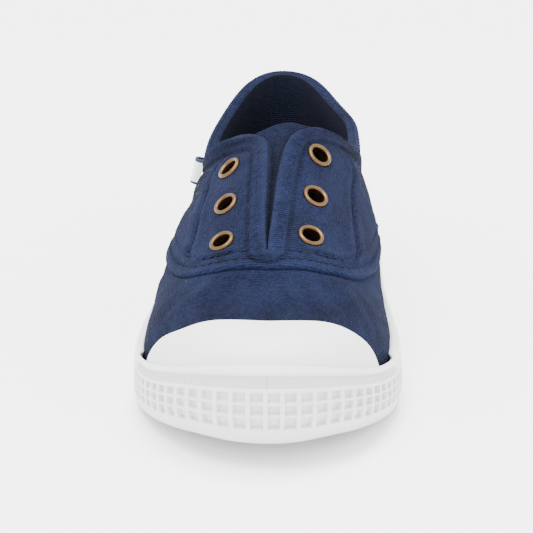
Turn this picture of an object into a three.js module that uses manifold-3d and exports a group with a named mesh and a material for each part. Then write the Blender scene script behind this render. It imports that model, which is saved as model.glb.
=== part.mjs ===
// A child's low canvas sneaker for the right foot, without laces, standing on a flat floor.
// Millimetres. The shoe is worked out with x across (the outer side of the foot is negative),
// y from the toe tip back to the heel and z up, and the group then moves its middle to the origin.
import * as THREE from "three";
import { mergeVertices } from "three/addons/utils/BufferGeometryUtils.js";
import Module from "manifold-3d";

const wasm = await Module();
wasm.setup();

// Driving sizes of the shoe
const LENGTH = 178; // sole, toe tip to heel
const OUTER_HALF = 38.0; // sole at the ball, outer side of the foot
const INNER_HALF = 36.3; // sole at the ball, inner side of the foot
const TOE_ROUND = { reach: 56, power: 2.1 }; // how far back and how bluntly the toe closes
const HEEL_ROUND = { reach: 31, power: 2.25 };
const COLUMNS = 34; // stations from toe to heel on each side

// Layers of the upper, measured outwards from the face of its canvas
const GAP = 0.3;
const CANVAS = 1.6;
const OVERLAY = { rise: 1.2, hemRise: 1.65, hemWidth: 4.6, hemStep: 0.5 };
const CAP = { rise: 1.5 };
const TONGUE = { thick: 1.3, under: 0.5, stand: 6.8, corner: 2.6, dip: 0.6 };

// The sole under the foot, its toe spring and the grooves across its tread
const BED = 7;
const INSOLE = { thick: 3.0, fromWall: 0.4 };
const SPRING = { height: 7.2, from: 60, full: 8, power: 1.25 };
const GROOVE = { wide: 2.2, deep: 1.3, half: 21, forefoot: [36, 84], heel: [130, 166], pitch: 8 };

// Half widths of the sole along the shoe, before its ends are rounded
const OUTLINE = [
  { y: 0, outer: OUTER_HALF, inner: INNER_HALF },
  { y: 30, outer: OUTER_HALF, inner: INNER_HALF },
  { y: 56, outer: OUTER_HALF, inner: INNER_HALF - 0.2 },
  { y: 74, outer: 36.4, inner: 34.4 },
  { y: 93, outer: 33.3, inner: 31.7 },
  { y: 111, outer: 30.2, inner: 30.2 },
  { y: 128, outer: 28.6, inner: 29.4 },
  { y: 147, outer: 28.2, inner: 28.4 },
  { y: 178, outer: 27.4, inner: 27.4 },
];

// The sole's wall along the shoe: height of its rim, how far in from the outline the upper
// stands, and how far in the tread's edge and the rim's edge are
const WALL = [
  { y: 0, rim: 30.6, inset: 4.6, tread: 5.6, lip: 2.6 },
  { y: 10, rim: 26.8, inset: 4.5, tread: 4.8, lip: 2.4 },
  { y: 20, rim: 23.0, inset: 4.3, tread: 3.8, lip: 2.0 },
  { y: 30, rim: 19.8, inset: 4.0, tread: 2.7, lip: 1.6 },
  { y: 40, rim: 17.7, inset: 3.4, tread: 1.8, lip: 1.2 },
  { y: 52, rim: 16.4, inset: 2.9, tread: 1.3, lip: 0.9 },
  { y: 68, rim: 16.0, inset: 2.7, tread: 1.0, lip: 0.8 },
  { y: 90, rim: 16.2, inset: 2.7, tread: 1.0, lip: 0.8 },
  { y: 115, rim: 16.6, inset: 2.9, tread: 1.1, lip: 0.8 },
  { y: 140, rim: 17.1, inset: 3.8, tread: 1.6, lip: 1.0 },
  { y: 178, rim: 18.4, inset: 4.1, tread: 2.4, lip: 1.3 },
];

// Relief of the sole's side from the tread up, as shares of its height: a smooth foot band, three
// rows of squares, a ledge, a finely ribbed band and the lip. sink is how deep each lies.
const SIDE = [
  { name: "foot band", from: 0.06, to: 0.26, sink: 0 },
  { name: "lowest row", from: 0.28, to: 0.395, sink: 0.7 },
  { name: "rib", from: 0.415, to: 0.44, sink: 0 },
  { name: "middle row", from: 0.46, to: 0.55, sink: 0.7 },
  { name: "rib", from: 0.57, to: 0.595, sink: 0 },
  { name: "top row", from: 0.615, to: 0.705, sink: 0.7 },
  { name: "ledge", from: 0.725, to: 0.76, sink: 0 },
  { name: "ribbed band", from: 0.78, to: 0.9, sink: 0.35 },
  { name: "lip", from: 0.92, to: 0.975, sink: 0 },
];
const BARE_PANEL = { from: 45, to: 66 }; // smooth stretch of the outer side, with no squares
const RIBBED = { from: 32, to: 44 }; // the ribbed band runs out here on its way back
// Share of the height at which the side stands out furthest, and how it curves below and above
const SIDE_CURVE = { belly: 0.55, under: 3.2, over: 2.4 };
const RIM = { edge: 0.975, round: 0.3 };
// Where the wall of the sole closes in on bare canvas behind the cap, and opens for the quarters
const CAP_ENDS = { from: 43, to: 49 };
const QUARTERS_ENTER = { from: 108, to: 115 };
const BEYOND = 100; // past every face of the shoe

// Sections of the last. From the base station y the wall leaves the sole along a handle of length
// foot, leaning outwards by lean degrees, and meets the top edge at x, ty, tz along a handle of
// length crown that falls outwards by drop degrees. rise is the slope of the instep there. At the
// heel x is the width before the end is rounded.
const OUTER_SECTIONS = [
  { y: 0, x: 0, ty: 26, tz: 34.8, foot: 23, lean: -3, crown: 18, drop: 0, rise: 0.02 },
  { y: 12, x: 0, ty: 27.6, tz: 35.4, foot: 23, lean: -2, crown: 18.5, drop: 0, rise: 0.12 },
  { y: 24, x: -0.1, ty: 31.5, tz: 37.1, foot: 23, lean: -1, crown: 19, drop: 0, rise: 0.32 },
  { y: 36, x: -0.3, ty: 38, tz: 40.2, foot: 23.5, lean: 5, crown: 19.5, drop: 0, rise: 0.42 },
  { y: 44, x: -0.7, ty: 43, tz: 43.0, foot: 24, lean: 6, crown: 18.5, drop: 2, rise: 0.46 },
  { y: 50.5, x: -1.0, ty: 48.7, tz: 45.7, foot: 24.5, lean: 6, crown: 17.5, drop: 9, rise: 0.49 },
  { y: 62, x: -1.5, ty: 59, tz: 50.7, foot: 26, lean: 6, crown: 17, drop: 21, rise: 0.5 },
  { y: 74, x: -1.4, ty: 69.5, tz: 55.8, foot: 29, lean: 5, crown: 16.5, drop: 28, rise: 0.49 },
  { y: 86, x: -1.3, ty: 80, tz: 60.7, foot: 31, lean: 5, crown: 16, drop: 31, rise: 0.45 },
  { y: 97, x: -2.2, ty: 88, tz: 63.4, foot: 31.5, lean: 4, crown: 15, drop: 35, rise: 0.32 },
  { y: 106, x: -6.4, ty: 92.6, tz: 63.5, foot: 30, lean: 3, crown: 13.5, drop: 43, rise: 0.18 },
  { y: 113, x: -12.2, ty: 97.0, tz: 61.2, foot: 28, lean: 1, crown: 12.5, drop: 53, rise: 0.1 },
  { y: 121, x: -16.8, ty: 103.5, tz: 56.4, foot: 25, lean: 1, crown: 12, drop: 64, rise: 0.03 },
  { y: 131, x: -19.2, ty: 113, tz: 49.6, foot: 19, lean: 1, crown: 11.5, drop: 73, rise: 0 },
  { y: 142, x: -19.9, ty: 126.5, tz: 45.2, foot: 16, lean: 1, crown: 11, drop: 77, rise: 0 },
  { y: 153, x: -19.0, ty: 140, tz: 45.8, foot: 16, lean: 2, crown: 11.5, drop: 78, rise: 0 },
  { y: 163, x: -17.2, ty: 153, tz: 48.4, foot: 17, lean: 3, crown: 12.5, drop: 79, rise: 0 },
  { y: 172, x: -15.4, ty: 165, tz: 52.0, foot: 18, lean: 4, crown: 14, drop: 80, rise: 0 },
  { y: 178, x: -14.5, ty: 171.2, tz: 54.2, foot: 19, lean: 5, crown: 15, drop: 81, rise: 0 },
];
const INNER_SECTIONS = [
  { y: 0, x: 0, ty: 26, tz: 34.8, foot: 23, lean: -3, crown: 18, drop: 0, rise: 0.02 },
  { y: 12, x: 0, ty: 27.6, tz: 35.4, foot: 23, lean: -2, crown: 18.5, drop: 0, rise: 0.12 },
  { y: 24, x: -0.1, ty: 31.5, tz: 37.1, foot: 23.5, lean: -1, crown: 19.5, drop: 0, rise: 0.32 },
  { y: 36, x: -0.3, ty: 38, tz: 40.2, foot: 25, lean: 0, crown: 19.5, drop: 0, rise: 0.42 },
  { y: 44, x: -0.7, ty: 43, tz: 43.0, foot: 26, lean: 0, crown: 19.5, drop: 0, rise: 0.46 },
  { y: 50.5, x: -1.0, ty: 48.7, tz: 45.7, foot: 27, lean: -1, crown: 19, drop: 3, rise: 0.49 },
  { y: 62, x: -0.3, ty: 59, tz: 50.9, foot: 29.5, lean: 0, crown: 19.5, drop: 11, rise: 0.5 },
  { y: 74, x: 0.5, ty: 69.5, tz: 56.2, foot: 31.5, lean: 1, crown: 20, drop: 16, rise: 0.49 },
  { y: 86, x: 1.9, ty: 80, tz: 61.5, foot: 33.5, lean: 3, crown: 19.5, drop: 20, rise: 0.47 },
  { y: 97, x: 4.8, ty: 88.6, tz: 65.2, foot: 35, lean: 4, crown: 18.5, drop: 25, rise: 0.35 },
  { y: 106, x: 10.2, ty: 94.2, tz: 65.4, foot: 33, lean: 4, crown: 15.5, drop: 36, rise: 0.2 },
  { y: 113, x: 14.8, ty: 98.5, tz: 63.0, foot: 31, lean: 4, crown: 13.5, drop: 48, rise: 0.1 },
  { y: 121, x: 18.6, ty: 104.7, tz: 57.8, foot: 26, lean: 3, crown: 12, drop: 62, rise: 0.03 },
  { y: 131, x: 20.9, ty: 114, tz: 52.8, foot: 20, lean: 2, crown: 11.5, drop: 72, rise: 0 },
  { y: 142, x: 21.2, ty: 127, tz: 50.5, foot: 17, lean: 2, crown: 11, drop: 77, rise: 0 },
  { y: 153, x: 20.0, ty: 140.3, tz: 50.8, foot: 17, lean: 2, crown: 11.5, drop: 78, rise: 0 },
  { y: 163, x: 17, ty: 153, tz: 51.4, foot: 17, lean: 3, crown: 12.5, drop: 79, rise: 0 },
  { y: 172, x: 14.4, ty: 165, tz: 53.2, foot: 18, lean: 4, crown: 14, drop: 80, rise: 0 },
  { y: 178, x: 13, ty: 171.2, tz: 54.2, foot: 19, lean: 5, crown: 15, drop: 81, rise: 0 },
];
const SLIT_STATION = 50.5; // the section that ends at the foot of the throat
const SLIT_OPENS = 6; // how suddenly the crown starts to fall away as it nears the throat

// Rear edge of the toe cap in plan, from the middle outwards, and lower edge of the quarters seen
// from the side, from the throat down to the sole
const CAP_EDGE = [
  { x: 0, y: 23 },
  { x: 9, y: 23.5 },
  { x: 16, y: 24.8 },
  { x: 23, y: 27.6 },
  { x: 28, y: 32.2 },
  { x: 31.5, y: 36 },
  { x: 34, y: 40 },
  { x: 36, y: 44.5 },
];
const QUARTER_EDGE = [
  { y: 42.6, z: 60 },
  { y: 42.8, z: 43.2 },
  { y: 44.6, z: 41.2 },
  { y: 47, z: 39.2 },
  { y: 50, z: 37.4 },
  { y: 55, z: 35.6 },
  { y: 63, z: 33.7 },
  { y: 74, z: 32.0 },
  { y: 86, z: 30.2 },
  { y: 97, z: 28.0 },
  { y: 106, z: 25.0 },
  { y: 114, z: 20.8 },
  { y: 121, z: 16.4 },
  { y: 128, z: 9 },
  { y: 134, z: 0 },
];

// Eyelets, by the place of each hole's middle on the upper, counted from the toe
const EYELET = { bore: 2.5, barrel: 3.0, flange: 3.75, crest: 3.15, edge: 0.35, roll: 0.9, clear: 3.3 };
const EYELET_SIDES = 14;
const EYELETS = [
  { name: "eyelet_outer_1", side: "outer", x: -13.1, y: 56.6 },
  { name: "eyelet_outer_2", side: "outer", x: -12.4, y: 71.5 },
  { name: "eyelet_outer_3", side: "outer", x: -11.8, y: 86.2 },
  { name: "eyelet_inner_1", side: "inner", x: 10.3, y: 56.4 },
  { name: "eyelet_inner_2", side: "inner", x: 11.0, y: 71.2 },
  { name: "eyelet_inner_3", side: "inner", x: 11.6, y: 86.0 },
];

// Folded tab sewn under the collar on the outer side
const TAB = { base: 148, z: 40.4, away: 0.5, tall: 7.6, stands: 2.8, half: 1.6, cloth: 0.9, bends: 6 };

// Splines through a table's columns, keyed by y
function spline(table, column) {
  const last = table.length - 1;
  const xs = table.map((row) => row.y);
  const ys = table.map((row) => row[column]);
  const bend = new Array(last + 1).fill(0);
  const carry = new Array(last + 1).fill(0);
  for (let i = 1; i < last; i++) {
    const share = (xs[i] - xs[i - 1]) / (xs[i + 1] - xs[i - 1]);
    const pivot = share * bend[i - 1] + 2;
    const ahead = (ys[i + 1] - ys[i]) / (xs[i + 1] - xs[i]);
    const behind = (ys[i] - ys[i - 1]) / (xs[i] - xs[i - 1]);
    bend[i] = (share - 1) / pivot;
    carry[i] = ((6 * (ahead - behind)) / (xs[i + 1] - xs[i - 1]) - share * carry[i - 1]) / pivot;
  }
  for (let i = last - 1; i >= 0; i--) bend[i] = bend[i] * bend[i + 1] + carry[i];
  return (x) => {
    let i = 0;
    while (i < last - 1 && x > xs[i + 1]) i++;
    const h = xs[i + 1] - xs[i];
    const a = (xs[i + 1] - x) / h;
    const b = (x - xs[i]) / h;
    const sag = (a ** 3 - a) * bend[i] + (b ** 3 - b) * bend[i + 1];
    return a * ys[i] + b * ys[i + 1] + (sag * h * h) / 6;
  };
}

function columnsOf(table) {
  return Object.fromEntries(Object.keys(table[0]).map((column) => [column, spline(table, column)]));
}

const outline = columnsOf(OUTLINE);
const wall = columnsOf(WALL);
const sections = { outer: columnsOf(OUTER_SECTIONS), inner: columnsOf(INNER_SECTIONS) };

const vec = (x, y, z) => new THREE.Vector3(x, y, z);
const slope = (degrees) => Math.tan(THREE.MathUtils.degToRad(degrees));
const { clamp, lerp, smoothstep } = THREE.MathUtils;

// Places round the shoe run with u from 0 at the toe tip along the outer side to 1 at the heel,
// and back along the inner side to 2.
const wrap = (u) => ((u % 2) + 2) % 2;
const sideOf = (u) => (wrap(u) <= 1 ? "outer" : "inner");
const lengthwise = (u) => (wrap(u) <= 1 ? wrap(u) : 2 - wrap(u));
const around = (side, t) => (side === "outer" ? t : wrap(2 - t));
const stationOf = (u) => (LENGTH * (1 - Math.cos(Math.PI * lengthwise(u)))) / 2;
const placeOf = (y) => Math.acos(1 - (2 * y) / LENGTH) / Math.PI;
const SLIT = placeOf(SLIT_STATION);

const rounded = (q, power) => (q >= 1 ? 1 : (1 - (1 - q) ** power) ** (1 / power));
const toeRounding = (y) => rounded(y / TOE_ROUND.reach, TOE_ROUND.power);
const heelRounding = (y) => rounded((LENGTH - y) / HEEL_ROUND.reach, HEEL_ROUND.power);

function outlineAt(u) {
  const y = stationOf(u);
  const half = outline[sideOf(u)](y) * toeRounding(y) * heelRounding(y);
  return vec(sideOf(u) === "outer" ? -half : half, y, 0);
}

// Outward direction of the outline in plan
function outwards(u) {
  const step = 1e-3;
  const along = outlineAt(u + step).sub(outlineAt(u - step));
  return vec(-along.y, along.x, 0).normalize();
}

function treadHeight(y) {
  const share = clamp((SPRING.from - Math.max(y, SPRING.full)) / (SPRING.from - SPRING.full), 0, 1);
  return SPRING.height * share ** SPRING.power;
}

const bedHeight = (y) => treadHeight(y) + BED;

// Lower edge of the upper, just clear of the bed
function featherAt(u) {
  const y = stationOf(u);
  const p = outlineAt(u).addScaledVector(outwards(u), -wall.inset(y));
  p.z = bedHeight(p.y) + GAP;
  return p;
}

// Top edge of the upper: the ridge of the toe ahead of the throat, then facings and collar
function topAt(u) {
  const y = stationOf(u);
  const read = (s) => vec(s.x(y) * heelRounding(y), s.ty(y), s.tz(y));
  if (lengthwise(u) > SLIT) return read(sections[sideOf(u)]);
  return read(sections.outer).add(read(sections.inner)).multiplyScalar(0.5);
}

// The face of the canvas: a cubic curve with two handles, from the lower edge (b = 0) to the top (b = 1)
function face(u, b) {
  const y = stationOf(u);
  const t = lengthwise(u);
  const s = sections[sideOf(u)];
  const foot = featherAt(u);
  const top = topAt(u);
  const out = vec(foot.x - top.x, foot.y - top.y, 0).normalize();
  const opened = t > SLIT ? 1 : (t / SLIT) ** SLIT_OPENS;
  const lean = slope(s.lean(y));
  const fall = s.rise(y) * out.y - slope(s.drop(y)) * opened;
  const low = vec(out.x * lean, out.y * lean, 1).setLength(s.foot(y)).add(foot);
  const high = vec(out.x, out.y, fall).setLength(s.crown(y)).add(top);
  const a = 1 - b;
  return foot
    .multiplyScalar(a ** 3)
    .addScaledVector(low, 3 * a * a * b)
    .addScaledVector(high, 3 * a * b * b)
    .addScaledVector(top, b ** 3);
}

// Outward normal of the face, on the ridge the ridge's own
function normalAt(u, b) {
  if (b === 1 && lengthwise(u) <= SLIT) {
    const y = stationOf(u);
    return vec(0, -(sections.outer.rise(y) + sections.inner.rise(y)) / 2, 1).normalize();
  }
  const du = 2e-3;
  const db = 1e-3;
  const along = face(u + du, b).sub(face(u - du, b));
  const across = face(u, Math.min(b + db, 1)).sub(face(u, Math.max(b - db, 0)));
  return across.cross(along).normalize();
}

const layer = (u, b, away) => face(u, b).addScaledVector(normalAt(u, b), away);

const HALVINGS = 24;
const STEPS = 12;
const LOW_WALL = 0.7; // the wall rises steadily up to this share
const FIRST_GUESS = 0.85;

// Share of the wall at which a measure of its point reaches a value, by halving
function shareWhere(u, measure, value, limit = 1) {
  let low = 0;
  let high = limit;
  for (let i = 0; i < HALVINGS; i++) {
    const middle = (low + high) / 2;
    if (measure(face(u, middle)) < value) low = middle;
    else high = middle;
  }
  return low;
}

const shareAtHeight = (u, z) => shareWhere(u, (p) => p.z, z, LOW_WALL);

function shareBelowTop(u, distance) {
  const top = face(u, 1);
  return shareWhere(u, (p) => -p.distanceTo(top), -distance);
}

// The place on the face under a point given in plan, by repeated straight steps
function locate(side, x, y) {
  let t = placeOf(y);
  let b = FIRST_GUESS;
  const step = 1e-4;
  for (let i = 0; i < STEPS; i++) {
    const at = face(around(side, t), b);
    const dt = face(around(side, t + step), b).sub(at).divideScalar(step);
    const db = face(around(side, t), b - step).sub(at).divideScalar(-step);
    const det = dt.x * db.y - db.x * dt.y;
    t += ((x - at.x) * db.y - (y - at.y) * db.x) / det;
    b += ((y - at.y) * dt.x - (x - at.x) * dt.y) / det;
  }
  return [around(side, t), b];
}

// A skin collects faces and closes into a solid.
class Skin {
  points = [];
  tri(a, b, c) {
    for (const p of [a, b, c]) this.points.push(p.x, p.y, p.z);
  }
  quad(a, b, c, d) {
    if (a.distanceToSquared(c) <= b.distanceToSquared(d)) {
      this.tri(a, b, c);
      this.tri(a, c, d);
    } else {
      this.tri(a, b, d);
      this.tri(b, c, d);
    }
  }
  // Faces between two rows of points that run the same way
  strip(low, high, closed, wanted = () => true) {
    const n = low.length;
    for (let i = 0; i < (closed ? n : n - 1); i++) {
      const j = (i + 1) % n;
      if (wanted(i, j)) this.quad(low[i], low[j], high[j], high[i]);
    }
  }
  // Bands from side to side inside a ring of points, facing up or down
  ladder(ring, up) {
    const n = ring.length;
    for (let i = 0; i < n / 2; i++) {
      const corners = [ring[i], ring[i + 1], ring[(n - i - 1) % n], ring[(n - i) % n]];
      if (up) corners.reverse();
      this.quad(...corners);
    }
  }
  solid() {
    const raw = new THREE.BufferGeometry();
    raw.setAttribute("position", new THREE.Float32BufferAttribute(this.points, 3));
    return solidOf(raw);
  }
}

function solidOf(geometry) {
  const bare = geometry.clone();
  bare.deleteAttribute("normal");
  bare.deleteAttribute("uv");
  const merged = mergeVertices(bare, 1e-4);
  const corners = merged.index.array;
  const kept = [];
  for (let i = 0; i < corners.length; i += 3) {
    const [a, b, c] = corners.slice(i, i + 3);
    if (a !== b && b !== c && c !== a) kept.push(a, b, c);
  }
  const vertProperties = new Float32Array(merged.attributes.position.array);
  return new wasm.Manifold(new wasm.Mesh({ numProp: 3, vertProperties, triVerts: new Uint32Array(kept) }));
}

function geometryOf(solid) {
  const mesh = solid.getMesh();
  const geometry = new THREE.BufferGeometry();
  geometry.setAttribute("position", new THREE.BufferAttribute(new Float32Array(mesh.vertProperties), 3));
  geometry.setIndex(new THREE.BufferAttribute(new Uint32Array(mesh.triVerts), 1));
  const merged = mergeVertices(geometry, 1e-3);
  merged.computeVertexNormals();
  return merged;
}

// A wall between two grids of points with the same rows, open or closed round the shoe
function slab(outside, inside, closed, topWanted) {
  const skin = new Skin();
  const last = outside.length - 1;
  for (let j = 0; j < last; j++) {
    skin.strip(outside[j + 1], outside[j], closed);
    skin.strip(inside[j], inside[j + 1], closed);
  }
  skin.strip(outside[0], inside[0], closed);
  skin.strip(inside[last], outside[last], closed, topWanted);
  if (!closed) {
    const end = outside[0].length - 1;
    const edge = (grid, i) => grid.map((row) => row[i]);
    skin.strip(edge(inside, 0), edge(outside, 0), false);
    skin.strip(edge(outside, end), edge(inside, end), false);
  }
  return skin.solid();
}

const RING = Array.from({ length: 2 * COLUMNS }, (_, i) => i / COLUMNS);
const onRidge = (i) => lengthwise(RING[i]) <= SLIT;

// The grid that every layer of the upper shares: shares of the wall for each place in the ring,
// with two rows close together where the hem begins
const hemShares = RING.map((u) => shareBelowTop(u, OVERLAY.hemWidth));
const stepShares = RING.map((u) => shareBelowTop(u, OVERLAY.hemWidth - OVERLAY.hemStep));
const WALL_ROWS = [0, 0.2, 0.39, 0.57, 0.73, 0.88].map((share) => hemShares.map((hem) => share * hem));
const GRID_ROWS = [...WALL_ROWS, hemShares, stepShares, RING.map(() => 1)];
const HEM_ROW = GRID_ROWS.length - 2;

// A layer all round the shoe between two distances from the face, welded along the ridge ahead of
// the throat. Its outer distance may change from place to place.
function ringLayer(low, high) {
  const grid = (away) => GRID_ROWS.map((row, j) => RING.map((u, i) => layer(u, row[i], away(i, j))));
  return slab(grid(high), grid(() => low), true, (i, j) => !(onRidge(i) && onRidge(j)));
}

function extruded(points, depth) {
  const shape = new THREE.Shape(points.map(([x, y]) => new THREE.Vector2(x, y)));
  return new THREE.ExtrudeGeometry(shape, { depth, bevelEnabled: false });
}

// Sole: a cup with a relief on its side, a bed for the upper and insole, and a grooved tread
function clearance(y) {
  const underCap = CAP.rise + GAP;
  const underQuarters = OVERLAY.rise + GAP;
  const front = lerp(underCap, GAP, smoothstep(y, CAP_ENDS.from, CAP_ENDS.to));
  return lerp(front, underQuarters, smoothstep(y, QUARTERS_ENTER.from, QUARTERS_ENTER.to));
}

function sinkFactor(u, band) {
  const y = stationOf(u);
  if (band === "ribbed band") return 1 - smoothstep(y, RIBBED.from, RIBBED.to);
  const bare = sideOf(u) === "outer" && y > BARE_PANEL.from && y < BARE_PANEL.to;
  return bare ? 0 : 1;
}

// How far in from the outline the side stands at a share of its height
function sideInset(y, share) {
  const { belly, under, over } = SIDE_CURVE;
  if (share < belly) return wall.tread(y) * ((belly - share) / belly) ** under;
  return wall.lip(y) * ((share - belly) / (1 - belly)) ** over;
}

function soleColumn(u) {
  const p = outlineAt(u);
  const out = outwards(u);
  const y = stationOf(u);
  const at = (share, sink) => {
    const q = p.clone().addScaledVector(out, -sideInset(y, share) - sink);
    q.z = lerp(treadHeight(p.y), wall.rim(y), share);
    return q;
  };
  const outside = [at(0, 0)];
  for (const band of SIDE) {
    const sink = band.sink * sinkFactor(u, band.name);
    outside.push(at(band.from, sink), at(band.to, sink));
  }
  const away = clearance(y);
  const rimShare = shareAtHeight(u, wall.rim(y));
  const inner = layer(u, rimShare, away);
  inner.z = wall.rim(y);
  const crest = at(RIM.edge, 0).lerp(inner, RIM.round);
  crest.z = wall.rim(y);
  const within = [0.75, 0.5, 0.25].map((part) => layer(u, rimShare * part, away));
  const corner = layer(u, 0, away);
  corner.z = bedHeight(corner.y);
  return [...outside, crest, inner, ...within, corner];
}

function makeSole() {
  const columns = RING.map(soleColumn);
  const rows = columns[0].map((_, j) => columns.map((column) => column[j]));
  const skin = new Skin();
  for (let j = 0; j < rows.length - 1; j++) skin.strip(rows[j + 1], rows[j], true);
  skin.ladder(rows[0], false);
  skin.ladder(rows[rows.length - 1], true);
  let sole = skin.solid();
  for (const [from, to] of [GROOVE.forefoot, GROOVE.heel]) {
    for (let y = from; y <= to; y += GROOVE.pitch) {
      const groove = new THREE.BoxGeometry(2 * GROOVE.half, GROOVE.wide, 2 * GROOVE.deep);
      groove.translate(0, y, treadHeight(y));
      sole = sole.subtract(solidOf(groove));
    }
  }
  return sole;
}

// Insole: lies on the bed inside the upper
function makeInsole() {
  const ring = (above) =>
    RING.map((u) => {
      const y = stationOf(u);
      const share = shareAtHeight(u, bedHeight(y) + GAP + INSOLE.thick / 2);
      const p = layer(u, share, -CANVAS - INSOLE.fromWall);
      p.z = bedHeight(p.y) + GAP + above;
      return p;
    });
  const skin = new Skin();
  const low = ring(0);
  const high = ring(INSOLE.thick);
  skin.strip(high, low, true);
  skin.ladder(low, false);
  skin.ladder(high, true);
  return skin.solid();
}

// Eyelets: a ring turned about the normal of the upper, with its barrel through the canvas
function placeEyelet({ side, x, y }) {
  const [u, b] = locate(side, x, y);
  const turn = new THREE.Quaternion().setFromUnitVectors(vec(0, 0, 1), normalAt(u, b));
  return new THREE.Matrix4().compose(face(u, b), turn, vec(1, 1, 1));
}

function makeEyelet(spec) {
  const { bore, barrel, flange, crest, edge, roll } = EYELET;
  const seat = OVERLAY.rise + GAP;
  const profile = [
    [barrel, -CANVAS],
    [barrel, seat],
    [flange, seat],
    [flange, seat + edge],
    [crest, seat + roll],
    [bore, seat + edge],
    [bore, -CANVAS],
    [barrel, -CANVAS],
  ];
  const ring = new THREE.LatheGeometry(profile.map(([r, h]) => new THREE.Vector2(r, h)), EYELET_SIDES);
  ring.rotateX(Math.PI / 2);
  return solidOf(ring.applyMatrix4(placeEyelet(spec)));
}

function eyeletHole(spec) {
  const hole = new THREE.CylinderGeometry(EYELET.clear, EYELET.clear, 4 * EYELET.clear, EYELET_SIDES);
  hole.rotateX(Math.PI / 2);
  return solidOf(hole.applyMatrix4(placeEyelet(spec)));
}

const holes = EYELETS.map(eyeletHole);
const punched = (solid) => holes.reduce((left, hole) => left.subtract(hole), solid);

// Upper: one hollow wall of canvas from the sole to the collar, open at throat and foot
function makeUpper() {
  return punched(ringLayer(-CANVAS, () => 0));
}

// Quarters: the overlay round the throat and heel, with a thicker hem along its top edge
function makeQuarters() {
  const high = (i, j) => (j >= HEM_ROW && !onRidge(i) ? OVERLAY.hemRise : OVERLAY.rise);
  const whole = ringLayer(GAP, high);
  const outlineSide = QUARTER_EDGE.map(({ y, z }) => [y, z]);
  const behind = LENGTH + BEYOND;
  outlineSide.push([behind, 0], [behind, BEYOND], [QUARTER_EDGE[0].y, BEYOND]);
  const prism = extruded(outlineSide, 2 * BEYOND);
  prism.rotateY(Math.PI / 2);
  prism.rotateX(Math.PI / 2);
  prism.translate(-BEYOND, 0, 0);
  return punched(whole.intersect(solidOf(prism)));
}

// Toe cap: a moulded shell over the toe, let into the rim of the sole
function makeToeCap() {
  const whole = ringLayer(GAP, () => CAP.rise);
  const edge = CAP_EDGE.map(({ x, y }) => [x, y]);
  const mirrored = CAP_EDGE.slice(1).reverse().map(({ x, y }) => [-x, y]);
  const end = CAP_EDGE[CAP_EDGE.length - 1].y;
  const front = [[BEYOND, end], [BEYOND, -BEYOND], [-BEYOND, -BEYOND], [-BEYOND, end]];
  const plan = [...mirrored, ...edge, ...front];
  return whole.intersect(solidOf(extruded(plan, BEYOND)));
}

// Tongue: lies under both facings and closes the throat, with a rounded top that stands clear
function makeTongue() {
  const stations = [53, 60, 68, 76, 84, 91, 97];
  const shares = [0.62, 0.75, 0.88, 1];
  const top = -CANVAS - TONGUE.under;
  const row = (y, away) => {
    const t = placeOf(y);
    const half = (side) => shares.map((b) => layer(around(side, t), b, away));
    const outer = half("outer");
    const inner = half("inner").reverse();
    const crown = outer[shares.length - 1].clone().lerp(inner[0], 0.5);
    return [...outer, crown, ...inner];
  };
  const grid = (away) => {
    const rows = stations.map((y) => row(y, away));
    const [before, end] = rows.slice(-2);
    const middle = shares.length;
    const stand = end.map((p, i) => {
      const share = 1 - Math.abs((i - middle) / (middle + 0.5)) ** TONGUE.corner;
      const onward = p.clone().sub(before[i]).normalize().multiplyScalar(TONGUE.stand * share);
      return p.clone().add(onward).add(vec(0, 0, -TONGUE.dip));
    });
    return [stand, ...rows.reverse()];
  };
  return slab(grid(top), grid(top - TONGUE.thick), false);
}

// Side tab: a strip of cloth folded double, its fold standing outwards
function makeTab() {
  const u = around("outer", placeOf(TAB.base));
  const share = shareAtHeight(u, TAB.z + TAB.tall / 2);
  const root = layer(u, share, OVERLAY.rise + TAB.away);
  const out = normalAt(u, share);
  const back = vec(0, 1, 0).projectOnPlane(out).normalize();
  const rise = back.clone().cross(out);
  const turn = new THREE.Matrix4().makeBasis(out.negate(), back, rise).setPosition(root);
  const { half, stands, cloth, tall, bends } = TAB;
  const bow = Array.from({ length: bends + 1 }, (_, i) => (Math.PI * i) / bends);
  const arch = (radius) => bow.map((a) => [-(stands - half) - radius * Math.sin(a), -radius * Math.cos(a)]);
  const inner = arch(half - cloth).reverse();
  const outlinePlan = [[0, -half], ...arch(half), [0, half], [0, half - cloth], ...inner, [0, cloth - half]];
  const strip = extruded(outlinePlan, tall);
  strip.translate(0, 0, -tall / 2);
  return solidOf(strip.applyMatrix4(turn));
}

const part = new THREE.Group();
function add(name, solid, color, roughness, metalness = 0) {
  const material = new THREE.MeshStandardMaterial({ color, roughness, metalness });
  const mesh = new THREE.Mesh(geometryOf(solid), material);
  mesh.name = name;
  part.add(mesh);
}

const COLORS = { canvas: 0x2b4272, lining: 0x1a2440, rubber: 0xeeeef0, brass: 0xa97b3c, tab: 0xe9e9ec };

add("outsole", makeSole(), COLORS.rubber, 0.5);
add("upper", makeUpper(), COLORS.canvas, 0.95);
add("quarters", makeQuarters(), COLORS.canvas, 0.95);
add("toe_cap", makeToeCap(), COLORS.rubber, 0.45);
add("tongue", makeTongue(), COLORS.canvas, 0.95);
add("insole", makeInsole(), COLORS.lining, 0.95);
for (const spec of EYELETS) add(spec.name, makeEyelet(spec), COLORS.brass, 0.4, 0.9);
add("side_tab", makeTab(), COLORS.tab, 0.9);

part.position.set((OUTER_HALF - INNER_HALF) / 2, -LENGTH / 2, 0);
export default part;
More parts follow.
